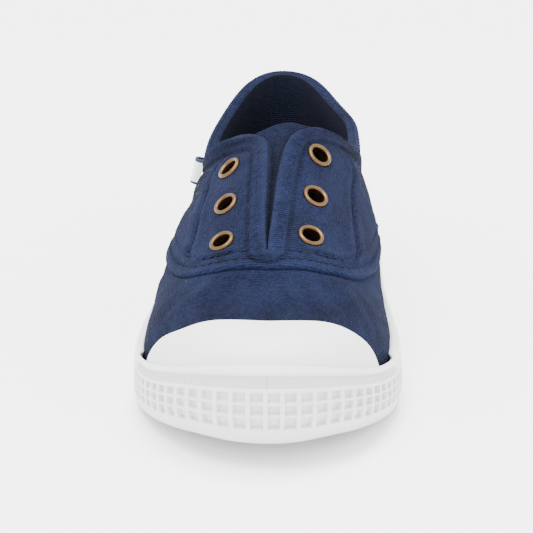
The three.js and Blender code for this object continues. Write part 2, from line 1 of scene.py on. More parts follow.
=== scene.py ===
"""Looks of a child's canvas sneaker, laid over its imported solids.

Shapes are worked out in millimetres in the shoe's own frame: x across with the outer side of the
foot negative, y from the toe tip back to the heel, z up. Places round the shoe run with u from 0 at
the toe tip along the outer side to 1 at the heel and back along the inner side to 2, and b runs
from 0 at the lower edge of the upper to 1 at its top edge.
"""
import math

import bpy
import numpy as np
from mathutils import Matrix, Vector


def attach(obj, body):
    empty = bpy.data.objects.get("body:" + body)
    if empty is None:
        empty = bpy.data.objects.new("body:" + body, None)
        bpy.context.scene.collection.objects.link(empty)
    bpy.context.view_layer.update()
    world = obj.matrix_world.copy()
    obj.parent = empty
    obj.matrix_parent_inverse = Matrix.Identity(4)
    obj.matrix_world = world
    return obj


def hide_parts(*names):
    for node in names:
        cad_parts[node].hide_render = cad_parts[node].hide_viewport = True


bl_info = {
    "name": "Canvas sneaker looks",
    "version": (1, 0, 0),
    "blender": (4, 5, 0),
    "location": "3D View > Sidebar > Sneaker",
    "description": "Builds the cloth, rubber, eyelets and stitches of a child's canvas sneaker",
    "category": "Object",
}

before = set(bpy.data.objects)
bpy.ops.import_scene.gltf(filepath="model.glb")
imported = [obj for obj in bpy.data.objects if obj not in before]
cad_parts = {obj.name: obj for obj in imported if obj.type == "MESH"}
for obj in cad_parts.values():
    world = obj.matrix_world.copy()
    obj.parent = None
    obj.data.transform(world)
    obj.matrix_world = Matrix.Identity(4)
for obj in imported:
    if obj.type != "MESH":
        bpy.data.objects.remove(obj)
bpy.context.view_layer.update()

# Driving sizes, as the solids have them, but for their hem, which stands 0.05 mm higher
LENGTH = 178.0
MIDDLE = np.array([-0.85, 89.0, 0.0])
GAP = 0.3
CANVAS = 1.6
RISE = 1.2
HEM = {"rise": 1.6, "width": 4.6}
CAP_RISE = 1.5
BED = 7.0
SPRING = {"height": 7.2, "from": 60.0, "full": 8.0, "power": 1.25}
TOE_ROUND = (56.0, 2.1)
HEEL_ROUND = (31.0, 2.25)
SLIT_STATION = 50.5

OUTLINE = (
    ("y", "outer", "inner"),
    (0, 38.0, 36.3),
    (30, 38.0, 36.3),
    (56, 38.0, 36.1),
    (74, 36.4, 34.4),
    (93, 33.3, 31.7),
    (111, 30.2, 30.2),
    (128, 28.6, 29.4),
    (147, 28.2, 28.4),
    (178, 27.4, 27.4),
)
WALL = (
    ("y", "rim", "inset", "tread", "lip"),
    (0, 30.6, 4.6, 5.6, 2.6),
    (10, 26.8, 4.5, 4.8, 2.4),
    (20, 23.0, 4.3, 3.8, 2.0),
    (30, 19.8, 4.0, 2.7, 1.6),
    (40, 17.7, 3.4, 1.8, 1.2),
    (52, 16.4, 2.9, 1.3, 0.9),
    (68, 16.0, 2.7, 1.0, 0.8),
    (90, 16.2, 2.7, 1.0, 0.8),
    (115, 16.6, 2.9, 1.1, 0.8),
    (140, 17.1, 3.8, 1.6, 1.0),
    (178, 18.4, 4.1, 2.4, 1.3),
)
OUTER_SECTIONS = (
    ("y", "x", "ty", "tz", "foot", "lean", "crown", "drop", "rise"),
    (0, 0, 26, 34.8, 23, -3, 18, 0, 0.02),
    (12, 0, 27.6, 35.4, 23, -2, 18.5, 0, 0.12),
    (24, -0.1, 31.5, 37.1, 23, -1, 19, 0, 0.32),
    (36, -0.3, 38, 40.2, 23.5, 5, 19.5, 0, 0.42),
    (44, -0.7, 43, 43.0, 24, 6, 18.5, 2, 0.46),
    (50.5, -1.0, 48.7, 45.7, 24.5, 6, 17.5, 9, 0.49),
    (62, -1.5, 59, 50.7, 26, 6, 17, 21, 0.5),
    (74, -1.4, 69.5, 55.8, 29, 5, 16.5, 28, 0.49),
    (86, -1.3, 80, 60.7, 31, 5, 16, 31, 0.45),
    (97, -2.2, 88, 63.4, 31.5, 4, 15, 35, 0.32),
    (106, -6.4, 92.6, 63.5, 30, 3, 13.5, 43, 0.18),
    (113, -12.2, 97.0, 61.2, 28, 1, 12.5, 53, 0.1),
    (121, -16.8, 103.5, 56.4, 25, 1, 12, 64, 0.03),
    (131, -19.2, 113, 49.6, 19, 1, 11.5, 73, 0),
    (142, -19.9, 126.5, 45.2, 16, 1, 11, 77, 0),
    (153, -19.0, 140, 45.8, 16, 2, 11.5, 78, 0),
    (163, -17.2, 153, 48.4, 17, 3, 12.5, 79, 0),
    (172, -15.4, 165, 52.0, 18, 4, 14, 80, 0),
    (178, -14.5, 171.2, 54.2, 19, 5, 15, 81, 0),
)
INNER_SECTIONS = (
    ("y", "x", "ty", "tz", "foot", "lean", "crown", "drop", "rise"),
    (0, 0, 26, 34.8, 23, -3, 18, 0, 0.02),
    (12, 0, 27.6, 35.4, 23, -2, 18.5, 0, 0.12),
    (24, -0.1, 31.5, 37.1, 23.5, -1, 19.5, 0, 0.32),
    (36, -0.3, 38, 40.2, 25, 0, 19.5, 0, 0.42),
    (44, -0.7, 43, 43.0, 26, 0, 19.5, 0, 0.46),
    (50.5, -1.0, 48.7, 45.7, 27, -1, 19, 3, 0.49),
    (62, -0.3, 59, 50.9, 29.5, 0, 19.5, 11, 0.5),
    (74, 0.5, 69.5, 56.2, 31.5, 1, 20, 16, 0.49),
    (86, 1.9, 80, 61.5, 33.5, 3, 19.5, 20, 0.47),
    (97, 4.8, 88.6, 65.2, 35, 4, 18.5, 25, 0.35),
    (106, 10.2, 94.2, 65.4, 33, 4, 15.5, 36, 0.2),
    (113, 14.8, 98.5, 63.0, 31, 4, 13.5, 48, 0.1),
    (121, 18.6, 104.7, 57.8, 26, 3, 12, 62, 0.03),
    (131, 20.9, 114, 52.8, 20, 2, 11.5, 72, 0),
    (142, 21.2, 127, 50.5, 17, 2, 11, 77, 0),
    (153, 20.0, 140.3, 50.8, 17, 2, 11.5, 78, 0),
    (163, 17, 153, 51.4, 17, 3, 12.5, 79, 0),
    (172, 14.4, 165, 53.2, 18, 4, 14, 80, 0),
    (178, 13, 171.2, 54.2, 19, 5, 15, 81, 0),
)
# Rear edge of the toe cap in plan, and lower edge of the quarters seen from the side
CAP_EDGE = ((0, 23), (9, 23.5), (16, 24.8), (23, 27.6), (28, 32.2), (31.5, 36), (34, 40), (36, 44.5))
QUARTER_EDGE = (
    (44.6, 41.2), (47, 39.2), (50, 37.4), (55, 35.6), (63, 33.7), (74, 32.0), (86, 30.2),
    (97, 28.0), (106, 25.0), (114, 20.8), (121, 16.4), (127, 10.5),
)
QUARTER_FRONT = 42.7
HIDDEN_FOOT = 10.5  # height behind the rim of the sole where the quarters end
EYELET = {"bore": 2.5, "barrel": 3.0, "flange": 3.75, "hole": 3.05}
EYELETS = (
    ("eyelet_outer_1", "outer", -13.1, 56.6),
    ("eyelet_outer_2", "outer", -12.4, 71.5),
    ("eyelet_outer_3", "outer", -11.8, 86.2),
    ("eyelet_inner_1", "inner", 10.3, 56.4),
    ("eyelet_inner_2", "inner", 11.0, 71.2),
    ("eyelet_inner_3", "inner", 11.6, 86.0),
)
TAB = {"base": 148, "z": 40.4, "away": 0.5, "tall": 7.6, "stands": 2.8, "half": 1.6, "cloth": 0.9}

# Relief of the sole's side from the tread up: shares of its height, and how deep each band lies.
# The squares are deeper than the unbroken bands that the solids have in their place.
SIDE = (
    ("foot", 0.06, 0.26, 0.0),
    ("squares", 0.28, 0.395, 1.3),
    ("rib", 0.415, 0.44, 0.0),
    ("squares", 0.46, 0.55, 1.3),
    ("rib", 0.57, 0.595, 0.0),
    ("squares", 0.615, 0.705, 1.3),
    ("ledge", 0.725, 0.76, 0.0),
    ("ribbed", 0.78, 0.9, 0.35),
    ("lip", 0.92, 0.975, 0.0),
)
SQUARE = {"pitch": 4.78, "from": 0.2, "to": 0.8, "bevel": 0.07}
BARE_PANEL = (45.0, 66.0)
RIBBED = (32.0, 44.0)
RIBS_END = 40.0
RIB_PITCH = 0.09  # in centimetres of the cloth map
SIDE_CURVE = {"belly": 0.55, "under": 3.2, "over": 2.4}
GROOVE = {"floor": 0.8, "brink": 1.3, "deep": 1.3, "forefoot": (36, 84), "heel": (130, 166), "pitch": 8}
GROOVE_ENDS = (19.5, 21.5)
# The tongue's top is taller and squarer than the solid's
TONGUE = {
    "front": 53, "back": 97, "side": 0.62, "under": 0.5, "thick": 1.3, "bow": 0.35,
    "stands": 7.6, "corner": 5, "sags": 0.5, "flatter": 0.45,
}
STITCH = {"pitch": 2.5, "length": 1.75, "thick": 0.42}
STITCH_ROWS = (3.3, 6.6)
HEM_ROW = 3.2

# Shares of the clouds, blotches, specks, and wear and painted shade in the dye, and what is taken off their
# sum
WASH = {"cloud": 1.05, "blot": 0.55, "speck": 1.1, "wear_and_painted_shade": 0.3, "less": 0.88}
BRASS = {"bright": (0.165, 0.096, 0.04, 1), "dark": (0.045, 0.026, 0.013, 1)}
TAPE_WHITE = (0.78, 0.79, 0.82, 1)
# Painted shade: the sole's rubber is this share of the toe cap's, darker to stand in for the shade on its
# upright moulded side
SOLE_PAINTED_SHADE = 0.93

# The stage, in metres
CAMERA = (0.0477, -1.569, 0.6465)
TARGET = (-0.001, -0.02, 0.0335)
LENS = 405.0
SENSOR = 36.0
SKY = 3.4
FLOOR = {"half": 6.0, "color": (0.96, 0.96, 0.965, 1)}
LIT_SPOT = (0, 0, 0.03)
LIGHTS = (
    ("key", (-0.35, -0.55, 1.5), 0.7, 34.0),
    ("fill", (0.9, -0.5, 0.9), 1.0, 4.0),
    ("top", (0.1, 0.2, 1.7), 0.8, 40.0),
)


def natural(xs, ys):
    """A natural cubic spline: the second derivatives at the knots solve the usual three-term rows."""
    xs = np.asarray(xs, float)
    ys = np.asarray(ys, float)
    h = np.diff(xs)
    rows = np.eye(len(xs))
    right = np.zeros(len(xs))
    for i in range(1, len(xs) - 1):
        rows[i, i - 1:i + 2] = h[i - 1], 2 * (h[i - 1] + h[i]), h[i]
        right[i] = 6 * ((ys[i + 1] - ys[i]) / h[i] - (ys[i] - ys[i - 1]) / h[i - 1])
    bend = np.linalg.solve(rows, right)

    def read(x):
        """The spline at x: straight between the knots, plus the cubic sag of the second derivatives."""
        x = np.asarray(x, float)
        i = np.clip(np.searchsorted(xs, x) - 1, 0, len(xs) - 2)
        w = h[i]
        a = (xs[i + 1] - x) / w
        b = (x - xs[i]) / w
        sag = (a ** 3 - a) * bend[i] + (b ** 3 - b) * bend[i + 1]
        return a * ys[i] + b * ys[i + 1] + sag * w * w / 6

    return read


def columns(table):
    """Each named column of a table as a spline over its first column."""
    rows = np.array(table[1:], float)
    return {name: natural(rows[:, 0], rows[:, i]) for i, name in enumerate(table[0]) if i}


outline = columns(OUTLINE)
wall = columns(WALL)
sections = {"outer": columns(OUTER_SECTIONS), "inner": columns(INNER_SECTIONS)}


def smoothstep(low, high, x):
    """Nought below low, one above high, and a cubic with level ends between them."""
    q = np.clip((np.asarray(x, float) - low) / (high - low), 0, 1)
    return q * q * (3 - 2 * q)


def unit(v):
    """Vectors over their own lengths."""
    return v / np.maximum(np.linalg.norm(v, axis=-1, keepdims=True), 1e-12)


def along(u):
    """Place on one side: u up to the heel, and two less u beyond it."""
    w = np.mod(u, 2.0)
    return np.where(w <= 1, w, 2 - w)


def is_outer(u):
    """Whether a place lies on the outer side, which is where u is at most one."""
    return np.mod(u, 2.0) <= 1


def station(u):
    """Distance back from the toe tip: half the length times one less the cosine of pi times the place."""
    return LENGTH * (1 - np.cos(np.pi * along(u))) / 2


def place(y):
    """Place of a station: the arc cosine of one less twice its share of the length, over pi."""
    return np.arccos(np.clip(1 - 2 * np.asarray(y, float) / LENGTH, -1, 1)) / np.pi


def around(side, t):
    """A place on a named side as u round the shoe."""
    return t if side == "outer" else np.mod(2 - t, 2.0)


SLIT = float(place(SLIT_STATION))


def rounded(q, power):
    """A round end: the root of one less the power of the share still to go."""
    q = np.clip(q, 0, 1)
    return (1 - (1 - q) ** power) ** (1 / power)


def toe_rounding(y):
    """Share of the half width left by the round toe."""
    return rounded(y / TOE_ROUND[0], TOE_ROUND[1])


def heel_rounding(y):
    """Share of the half width left by the round heel."""
    return rounded((LENGTH - y) / HEEL_ROUND[0], HEEL_ROUND[1])


def by_side(u, column):
    """A column of the sections, each place read from its own side's table."""
    y = station(u)
    return np.where(is_outer(u), sections["outer"][column](y), sections["inner"][column](y))


def outline_at(u):
    """Plan outline of the sole: half width by station, closed to round ends by power curves."""
    y = station(u)
    half = np.where(is_outer(u), -outline["outer"](y), outline["inner"](y))
    return np.stack([half * toe_rounding(y) * heel_rounding(y), y, np.zeros_like(y)], -1)


def outwards(u):
    """Level direction out of the outline: its tangent by differences, turned a quarter."""
    step = 1e-3
    d = outline_at(u + step) - outline_at(u - step)
    return unit(np.stack([-d[..., 1], d[..., 0], np.zeros_like(d[..., 0])], -1))


def tread_height(y):
    """Height of the tread: the spring's height times a power of the share of its run still ahead."""
    run = SPRING["from"] - SPRING["full"]
    share = np.clip((SPRING["from"] - np.maximum(y, SPRING["full"])) / run, 0, 1)
    return SPRING["height"] * share ** SPRING["power"]


def feather(u):
    """Lower edge of the upper: the outline moved in by the wall's inset, a gap above the bed."""
    p = outline_at(u) - outwards(u) * wall["inset"](station(u))[..., None]
    p[..., 2] = tread_height(p[..., 1]) + BED + GAP
    return p


def top_at(u):
    """Top edge: each side's own section behind the throat's foot, their mean on the ridge ahead of it."""
    y = station(u)
    ends = []
    for side in ("outer", "inner"):
        s = sections[side]
        ends.append(np.stack([s["x"](y) * heel_rounding(y), s["ty"](y), s["tz"](y)], -1))
    own = np.where(is_outer(u)[..., None], ends[0], ends[1])
    return np.where((along(u) > SLIT)[..., None], own, (ends[0] + ends[1]) / 2)


def face(u, b):
    """Face of the canvas: a cubic curve with two handles from the lower edge to the top edge."""
    u, b = np.broadcast_arrays(np.asarray(u, float), np.asarray(b, float))
    foot = feather(u)
    top = top_at(u)
    out = foot - top
    out[..., 2] = 0
    out = unit(out)
    opened = np.where(along(u) > SLIT, 1.0, (along(u) / SLIT) ** 6)
    lean = np.tan(np.radians(by_side(u, "lean")))
    fall = by_side(u, "rise") * out[..., 1] - np.tan(np.radians(by_side(u, "drop"))) * opened
    low = np.stack([out[..., 0] * lean, out[..., 1] * lean, np.ones_like(lean)], -1)
    low = foot + unit(low) * by_side(u, "foot")[..., None]
    high = np.stack([out[..., 0], out[..., 1], fall], -1)
    high = top + unit(high) * by_side(u, "crown")[..., None]
    b = b[..., None]
    a = 1 - b
    return foot * a ** 3 + low * 3 * a * a * b + high * 3 * a * b * b + top * b ** 3


def normal_at(u, b):
    """Outward normal of the face by differences, and the ridge's own on the ridge."""
    u, b = np.broadcast_arrays(np.asarray(u, float), np.asarray(b, float))
    du = 2e-3
    db = 1e-3
    run = face(u + du, b) - face(u - du, b)
    climb = face(u, np.minimum(b + db, 1)) - face(u, np.maximum(b - db, 0))
    n = unit(np.cross(climb, run))
    y = station(u)
    slope = (sections["outer"]["rise"](y) + sections["inner"]["rise"](y)) / 2
    ridge = unit(np.stack([np.zeros_like(slope), -slope, np.ones_like(slope)], -1))
    share = smoothstep(0.97, 1.0, b) * (along(u) <= SLIT)
    return unit(n * (1 - share[..., None]) + ridge * share[..., None])


def layer(u, b, away):
    """The face moved out along its normal by the distance away."""
    return face(u, b) + normal_at(u, b) * np.asarray(away, float)[..., None]


def share_where(u, measure, value, limit=1.0):
    """Share of the wall at which a rising measure of its point reaches a value, by halving."""
    u = np.asarray(u, float)
    low = np.zeros_like(u)
    high = np.full_like(u, limit)
    for _ in range(26):
        middle = (low + high) / 2
        below = measure(face(u, middle)) < value
        low = np.where(below, middle, low)
        high = np.where(below, high, middle)
    return low


def share_at_height(u, z, limit=0.7):
    """Share of the wall at which its point reaches a height, by halving."""
    return share_where(u, lambda p: p[..., 2], z, limit)


def locate(side, axes, first, second, b=0.85):
    """Place on the face whose two named coordinates have the given values, by repeated straight steps."""
    first = np.atleast_1d(np.asarray(first, float))
    second = np.atleast_1d(np.asarray(second, float))
    y = first if axes[0] == 1 else second
    t = place(y) * np.ones_like(first)
    b = np.full_like(t, b)
    step = 1e-4
    i, k = axes
    for _ in range(20):
        at = face(around(side, t), b)
        dt = (face(around(side, t + step), b) - at) / step
        db = (face(around(side, t), b - step) - at) / -step
        det = dt[..., i] * db[..., k] - db[..., i] * dt[..., k]
        e = first - at[..., i]
        f = second - at[..., k]
        t = t + np.clip((e * db[..., k] - f * db[..., i]) / det, -0.06, 0.06)
        b = np.clip(b + np.clip((f * dt[..., i] - e * dt[..., k]) / det, -0.15, 0.15), 0.01, 1)
    return around(side, t), b


def curve_through(points, count):
    """A smooth curve through points: a spline of each coordinate over the chord length."""
    points = np.asarray(points, float)
    run = np.concatenate([[0], np.cumsum(np.linalg.norm(np.diff(points, axis=0), axis=1))])
    s = np.linspace(0, run[-1], count)
    return np.stack([natural(run, points[:, k])(s) for k in range(points.shape[1])], -1)


def distance_to(points, path):
    """Least distance of each point to a path, taken over the path's samples a block at a time."""
    flat = points.reshape(-1, points.shape[-1])
    best = np.full(len(flat), 1e9)
    for i in range(0, len(path), 64):
        part = path[i:i + 64]
        d = np.linalg.norm(flat[:, None, :] - part[None], axis=2).min(axis=1)
        best = np.minimum(best, d)
    return best.reshape(points.shape[:-1])


def bump(distance, width):
    """A soft ridge of height one along a line, a bell across it."""
    return np.exp(-(distance / width) ** 2)


def spaced(path, count):
    """Samples of a path at even steps of its length."""
    run = np.concatenate([[0], np.cumsum(np.linalg.norm(np.diff(path, axis=0), axis=1))])
    s = np.linspace(0, run[-1], count)
    return np.stack([np.interp(s, run, path[:, k]) for k in range(path.shape[1])], -1)


# Meshes

def shell(outside, inside, kept=None, closed=False, top_wall=None):
    """Faces of a sheet between two grids with the same rows, walled at every border of what is kept.

    A cell's outer face runs along its upper row and back along its lower row; the inner face is the
    same turned over, and each border edge gets a wall from the outer grid to the inner one."""
    rows, cols = outside.shape[:2]
    spans = cols if closed else cols - 1
    if kept is None:
        kept = np.ones((rows - 1, spans), bool)
    index = np.arange(rows * cols).reshape(rows, cols)
    right = np.roll(index, -1, axis=1) if closed else index[:, 1:]
    left = index[:, :spans]
    right = right[:, :spans]
    a, b, c, d = left[1:], right[1:], right[:-1], left[:-1]
    inner = rows * cols
    quads = [np.stack([a, b, c, d], -1)[kept]]
    quads.append(np.stack([d, c, b, a], -1)[kept] + inner)

    def wall_of(start, end, bare):
        """Adds walls from the outer grid's edges to the inner grid's, where they are bare."""
        q = np.stack([end, start, start + inner, end + inner], -1)
        quads.append(q[kept & bare])

    up = np.ones_like(kept)
    up[:-1] = ~kept[1:]
    if top_wall is not None:
        up[-1] = top_wall
    down = np.ones_like(kept)
    down[1:] = ~kept[:-1]
    if closed:
        before = ~np.roll(kept, 1, axis=1)
        after = ~np.roll(kept, -1, axis=1)
    else:
        before = np.ones_like(kept)
        before[:, 1:] = ~kept[:, :-1]
        after = np.ones_like(kept)
        after[:, :-1] = ~kept[:, 1:]
    wall_of(a, b, up)
    wall_of(b, c, after)
    wall_of(c, d, down)
    wall_of(d, a, before)
    points = np.concatenate([outside.reshape(-1, 3), inside.reshape(-1, 3)])
    return points, np.concatenate(quads)


def weld(points, quads):
    """Joins points that lie within two microns, and takes a corner from faces that close up."""
    key = np.round(points * 500).astype(np.int64)
    _, first, where = np.unique(key, axis=0, return_index=True, return_inverse=True)
    q = where.reshape(-1)[quads]
    same = q == np.roll(q, -1, axis=1)
    count = same.sum(axis=1)
    crossed = (q[:, 0] == q[:, 2]) | (q[:, 1] == q[:, 3])
    whole = q[(count == 0) & ~crossed]
    one = (count == 1) & ~crossed
    tris = q[one][~same[one]].reshape(-1, 3)
    used = np.zeros(len(first), bool)
    used[whole] = True
    used[tris] = True
    new = np.cumsum(used) - 1
    kept = np.concatenate([quads[(count == 0) & ~crossed].ravel(), quads[one][~same[one]]])
    return first[used], new[whole], new[tris], kept


def add_piece(name, points, quads, material, nodes=(), uv=None, wear_and_painted_shade=None, sharp=40.0):
    """Makes the mesh of a piece from arrays, with its cloth map, its wear and painted shade, and its
    finish, and lets it ride.
    """
    first, whole, tris, kept = weld(points, quads)
    mesh = bpy.data.meshes.new(name)
    mesh.vertices.add(len(first))
    mesh.vertices.foreach_set("co", ((points[first] - MIDDLE) * 0.001).ravel())
    corners = np.concatenate([whole.ravel(), tris.ravel()]).astype(np.int32)
    mesh.loops.add(len(corners))
    mesh.loops.foreach_set("vertex_index", corners)
    starts = np.concatenate([np.arange(len(whole)) * 4, len(whole) * 4 + np.arange(len(tris)) * 3])
    mesh.polygons.add(len(starts))
    mesh.polygons.foreach_set("loop_start", starts.astype(np.int32))
    mesh.update(calc_edges=True)
    if uv is not None:
        cloth = mesh.uv_layers.new(name="cloth")
        cloth.uv.foreach_set("vector", uv[kept].astype(np.float32).ravel())
    if wear_and_painted_shade is not None:
        layer_of = mesh.attributes.new("wear_and_painted_shade", "FLOAT", "POINT")
        layer_of.data.foreach_set("value", wear_and_painted_shade[first].astype(np.float32))
    mesh.validate()
    mesh.shade_smooth()
    mesh.set_sharp_from_angle(angle=math.radians(sharp))
    mesh.materials.append(material)
    obj = bpy.data.objects.new(name, mesh)
    bpy.context.scene.collection.objects.link(obj)
    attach(obj, "root")
    if nodes:
        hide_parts(*nodes)
    return obj


def join_ridge(grid, u):
    """Gives the two sides the same points along the ridge: the mean of each pair of columns."""
    top = grid[-1]
    mirror = top[::-1] if u[0] > 0 else np.concatenate([top[:1], top[:0:-1]])
    on = along(u) <= SLIT
    middle = (top + mirror) / 2
    top[on] = middle[on]
    return grid


# Reliefs of the cloth

eyelet_axes = []
for name, side, x, y in EYELETS:
    eu, eb = locate(side, (0, 1), x, y)
    eyelet_axes.append((name, face(eu, eb)[0], normal_at(eu, eb)[0]))


def from_eyelets(points):
    """Distance of each point from the nearest eyelet's axis."""
    best = np.full(points.shape[:-1], 1e9)
    for _, centre, axis in eyelet_axes:
        d = points - centre
        high = d @ axis
        flat = np.linalg.norm(d - high[..., None] * axis, axis=-1)
        best = np.minimum(best, np.where(np.abs(high) < 6, flat, 1e9))
    return best


def on_side(side, rows, count=120):
    """A path on the face of one side, from rows of y and z."""
    path = curve_through(rows, count)
    u, b = locate(side, (1, 2), path[:, 0], path[:, 1], 0.6)
    return np.stack([u, b], -1)


def edge_of(side):
    """Lower edge of the quarters as places on the face: down from the ridge, back and into the sole."""
    ridge_y = place(43.7)
    u_front = around(side, ridge_y)
    for _ in range(12):
        y = face(u_front, 1.0)[..., 1]
        ridge_y = ridge_y + (QUARTER_FRONT - y) * 0.004
        u_front = around(side, ridge_y)
    path = on_side(side, QUARTER_EDGE, 160)
    return np.concatenate([[[float(u_front), 1.0]], path])


edges = {side: edge_of(side) for side in ("outer", "inner")}
edge_points = {}
for side, path in edges.items():
    fine = spaced(path, 900)
    edge_points[side] = face(fine[:, 0], fine[:, 1])
ALL_EDGE = np.concatenate([edge_points["outer"], edge_points["inner"]])

# The stitched panel round the eyelets: corners in y and z seen from the side
PANEL = {
    "outer": ((50.6, 43.8), (53.0, 40.4), (57.5, 38.6), (66, 41.2), (76, 44.8), (86, 48.6), (95.3, 52.6),
              (97.0, 56.0)),
    "inner": ((50.6, 43.8), (53.0, 40.6), (57.5, 39.2), (66, 42.0), (76, 45.8), (86, 49.8), (95.3, 54.0),
              (97.5, 57.6)),
}
panels = {side: on_side(side, rows, 160) for side, rows in PANEL.items()}
panel_points = {side: face(path[:, 0], path[:, 1]) for side, path in panels.items()}
ALL_PANEL = np.concatenate(list(panel_points.values()))

# Creases and folds, each a soft trough or ridge: side seen, its two ends, width and height in mm.
# The vamp's are given in plan (x and y), those of the sides in y and z.
VAMP_FOLDS = (
    (-3, 40.0, -5, 31.0, 1.6, -0.45),
    (2, 41.0, 4, 33.0, 1.3, -0.4),
    (7, 40.0, 11, 30.0, 1.8, -0.4),
    (-9, 40.5, -14, 33.0, 1.5, -0.45),
    (-15, 42.0, -20, 38.0, 1.4, 0.35),
    (13, 41.0, 19, 35.0, 1.4, -0.45),
    (18, 43.0, 25, 38.0, 1.5, 0.35),
    (-20, 44.0, -28, 40.0, 1.8, -0.5),
    (24, 45.0, 30, 40.0, 1.7, -0.5),
    (-16, 34.5, 2, 36.5, 2.6, 0.3),
    (0, 33.5, 20, 35.0, 2.8, 0.3),
    (-28, 46.0, -34, 48.0, 2.2, 0.35),
    (29, 47.0, 33, 50.0, 2.2, 0.35),
)
SIDE_FOLDS = (
    ("outer", 62, 31.0, 70, 24.0, 2.0, -0.45),
    ("outer", 76, 29.5, 82, 22.0, 2.2, -0.4),
    ("outer", 92, 27.0, 88, 20.0, 2.4, 0.35),
    ("outer", 70, 28.0, 98, 25.0, 2.4, 0.25),
    ("inner", 60, 31.5, 68, 25.0, 2.0, -0.45),
    ("inner", 78, 29.0, 72, 22.0, 2.2, -0.4),
    ("inner", 90, 27.5, 97, 21.0, 2.4, 0.35),
    ("outer", 98, 46.0, 104, 36.0, 2.6, -0.5),
    ("outer", 104, 50.0, 112, 40.0, 2.4, 0.45),
    ("inner", 99, 48.0, 106, 37.0, 2.6, -0.5),
    ("inner", 106, 52.0, 113, 42.0, 2.4, 0.45),
    ("outer", 64, 36.4, 90, 40.0, 2.6, 0.45),
    ("inner", 64, 36.8, 90, 41.0, 2.6, 0.45),
    ("outer", 126, 34.0, 146, 30.0, 4.0, -0.5),
    ("inner", 126, 36.0, 148, 31.0, 4.0, -0.5),
    ("outer", 150, 40.0, 166, 30.0, 3.5, 0.4),
    ("inner", 150, 42.0, 166, 31.0, 3.5, 0.4),
    ("outer", 118, 44.0, 132, 40.0, 3.0, 0.35),
    ("inner", 118, 46.0, 132, 42.0, 3.0, 0.35),
)


def segment_bell(p, a, b, width):
    """A bell across a segment in the plane, fading round its ends."""
    d = b - a
    s = np.clip(((p - a) @ d) / (d @ d), 0, 1)
    gap = np.linalg.norm(p - (a + s[..., None] * d), axis=-1)
    return np.exp(-(gap / width) ** 2)


def folds(points, u):
    """Height of all creases at points of the face."""
    high = np.zeros(points.shape[:-1])
    plan = points[..., :2]
    view = points[..., 1:]
    on_vamp = smoothstep(22, 30, points[..., 2])
    for x0, y0, x1, y1, width, tall in VAMP_FOLDS:
        high += tall * on_vamp * segment_bell(plan, np.array([x0, y0]), np.array([x1, y1]), width)
    for side, y0, z0, y1, z1, width, tall in SIDE_FOLDS:
        mine = is_outer(u) == (side == "outer")
        high += tall * mine * segment_bell(view, np.array([y0, z0]), np.array([y1, z1]), width)
    return high


def ripple(points, *waves):
    """Gentle unevenness of stretched cloth: a few sines of the place in different directions."""
    high = np.zeros(points.shape[:-1])
    for kx, ky, kz, phase, tall in waves:
        high += tall * np.sin(points[..., 0] * kx + points[..., 1] * ky + points[..., 2] * kz + phase)
    return high


UNEVEN = ((0.35, 0.22, 0.1, 0.3, 0.10), (-0.2, 0.41, 0.3, 1.9, 0.09), (0.5, -0.3, 0.45, 4.0, 0.07))


def cloth_map(u, b, scale=1.0):
    """Cloth coordinates in centimetres: round the shoe by arc along the outline, and up the wall."""
    fine = np.linspace(0, 2, 2001)
    ring = outline_at(fine)
    run = np.concatenate([[0], np.cumsum(np.linalg.norm(np.diff(ring, axis=0), axis=1))])
    across = np.interp(np.mod(u, 2.0), fine, run)
    return np.stack([across * 0.1 * scale, b * 5.0 * scale], -1)


def make_upper(material):
    """Upper: the canvas wall as the cubic face of each place, its lining one canvas thickness inside.

    The outer grid is lifted by the folds and a gentle ripple, and dips under the overlays."""
    cols, rows = 440, 84
    u = np.arange(cols) * 2.0 / cols
    share = np.linspace(0, 1, rows)
    b = 0.5 * share + 0.5 * (1 - np.cos(np.pi * share)) / 2
    U, B = np.meshgrid(u, b)
    base = face(U, B)
    shown = distance_to(base, ALL_EDGE[::4])
    high = folds(base, U) + ripple(base, *UNEVEN)
    y_edge = natural([r[0] for r in QUARTER_EDGE], [r[1] for r in QUARTER_EDGE])(base[..., 1])
    covered = (base[..., 2] > y_edge) & (base[..., 1] > QUARTER_FRONT)
    high = np.where(covered, 0.0, high * smoothstep(0, 1.0, shown))
    high = high - 0.12 * bump(shown, 1.2)
    high *= smoothstep(0, 0.06, B) * (1 - smoothstep(0.985, 1.0, B) * (along(U) > SLIT))
    normal = normal_at(U, B)
    outside = base + normal * high[..., None]
    inside = base - normal * CANVAS
    join_ridge(outside, u)
    join_ridge(inside, u)
    centre = (base[:-1] + base[1:]) / 2
    centre = (centre + np.roll(centre, -1, axis=1)) / 2
    kept = from_eyelets(centre) > EYELET["hole"]
    ridge = along(u) <= SLIT
    top_wall = ~(ridge & np.roll(ridge, -1))
    points, quads = shell(outside, inside, kept, True, top_wall)
    uv = cloth_map(U, B).reshape(-1, 2)
    wear_and_painted_shade = np.clip(bump(shown, 1.6) * 0.5, 0, 1).reshape(-1)
    lining = np.full(wear_and_painted_shade.shape, -1.0)
    return add_piece("canvas_upper", points, quads, material, ("upper",),
                     np.concatenate([uv, uv]), np.concatenate([wear_and_painted_shade, lining]), 60)


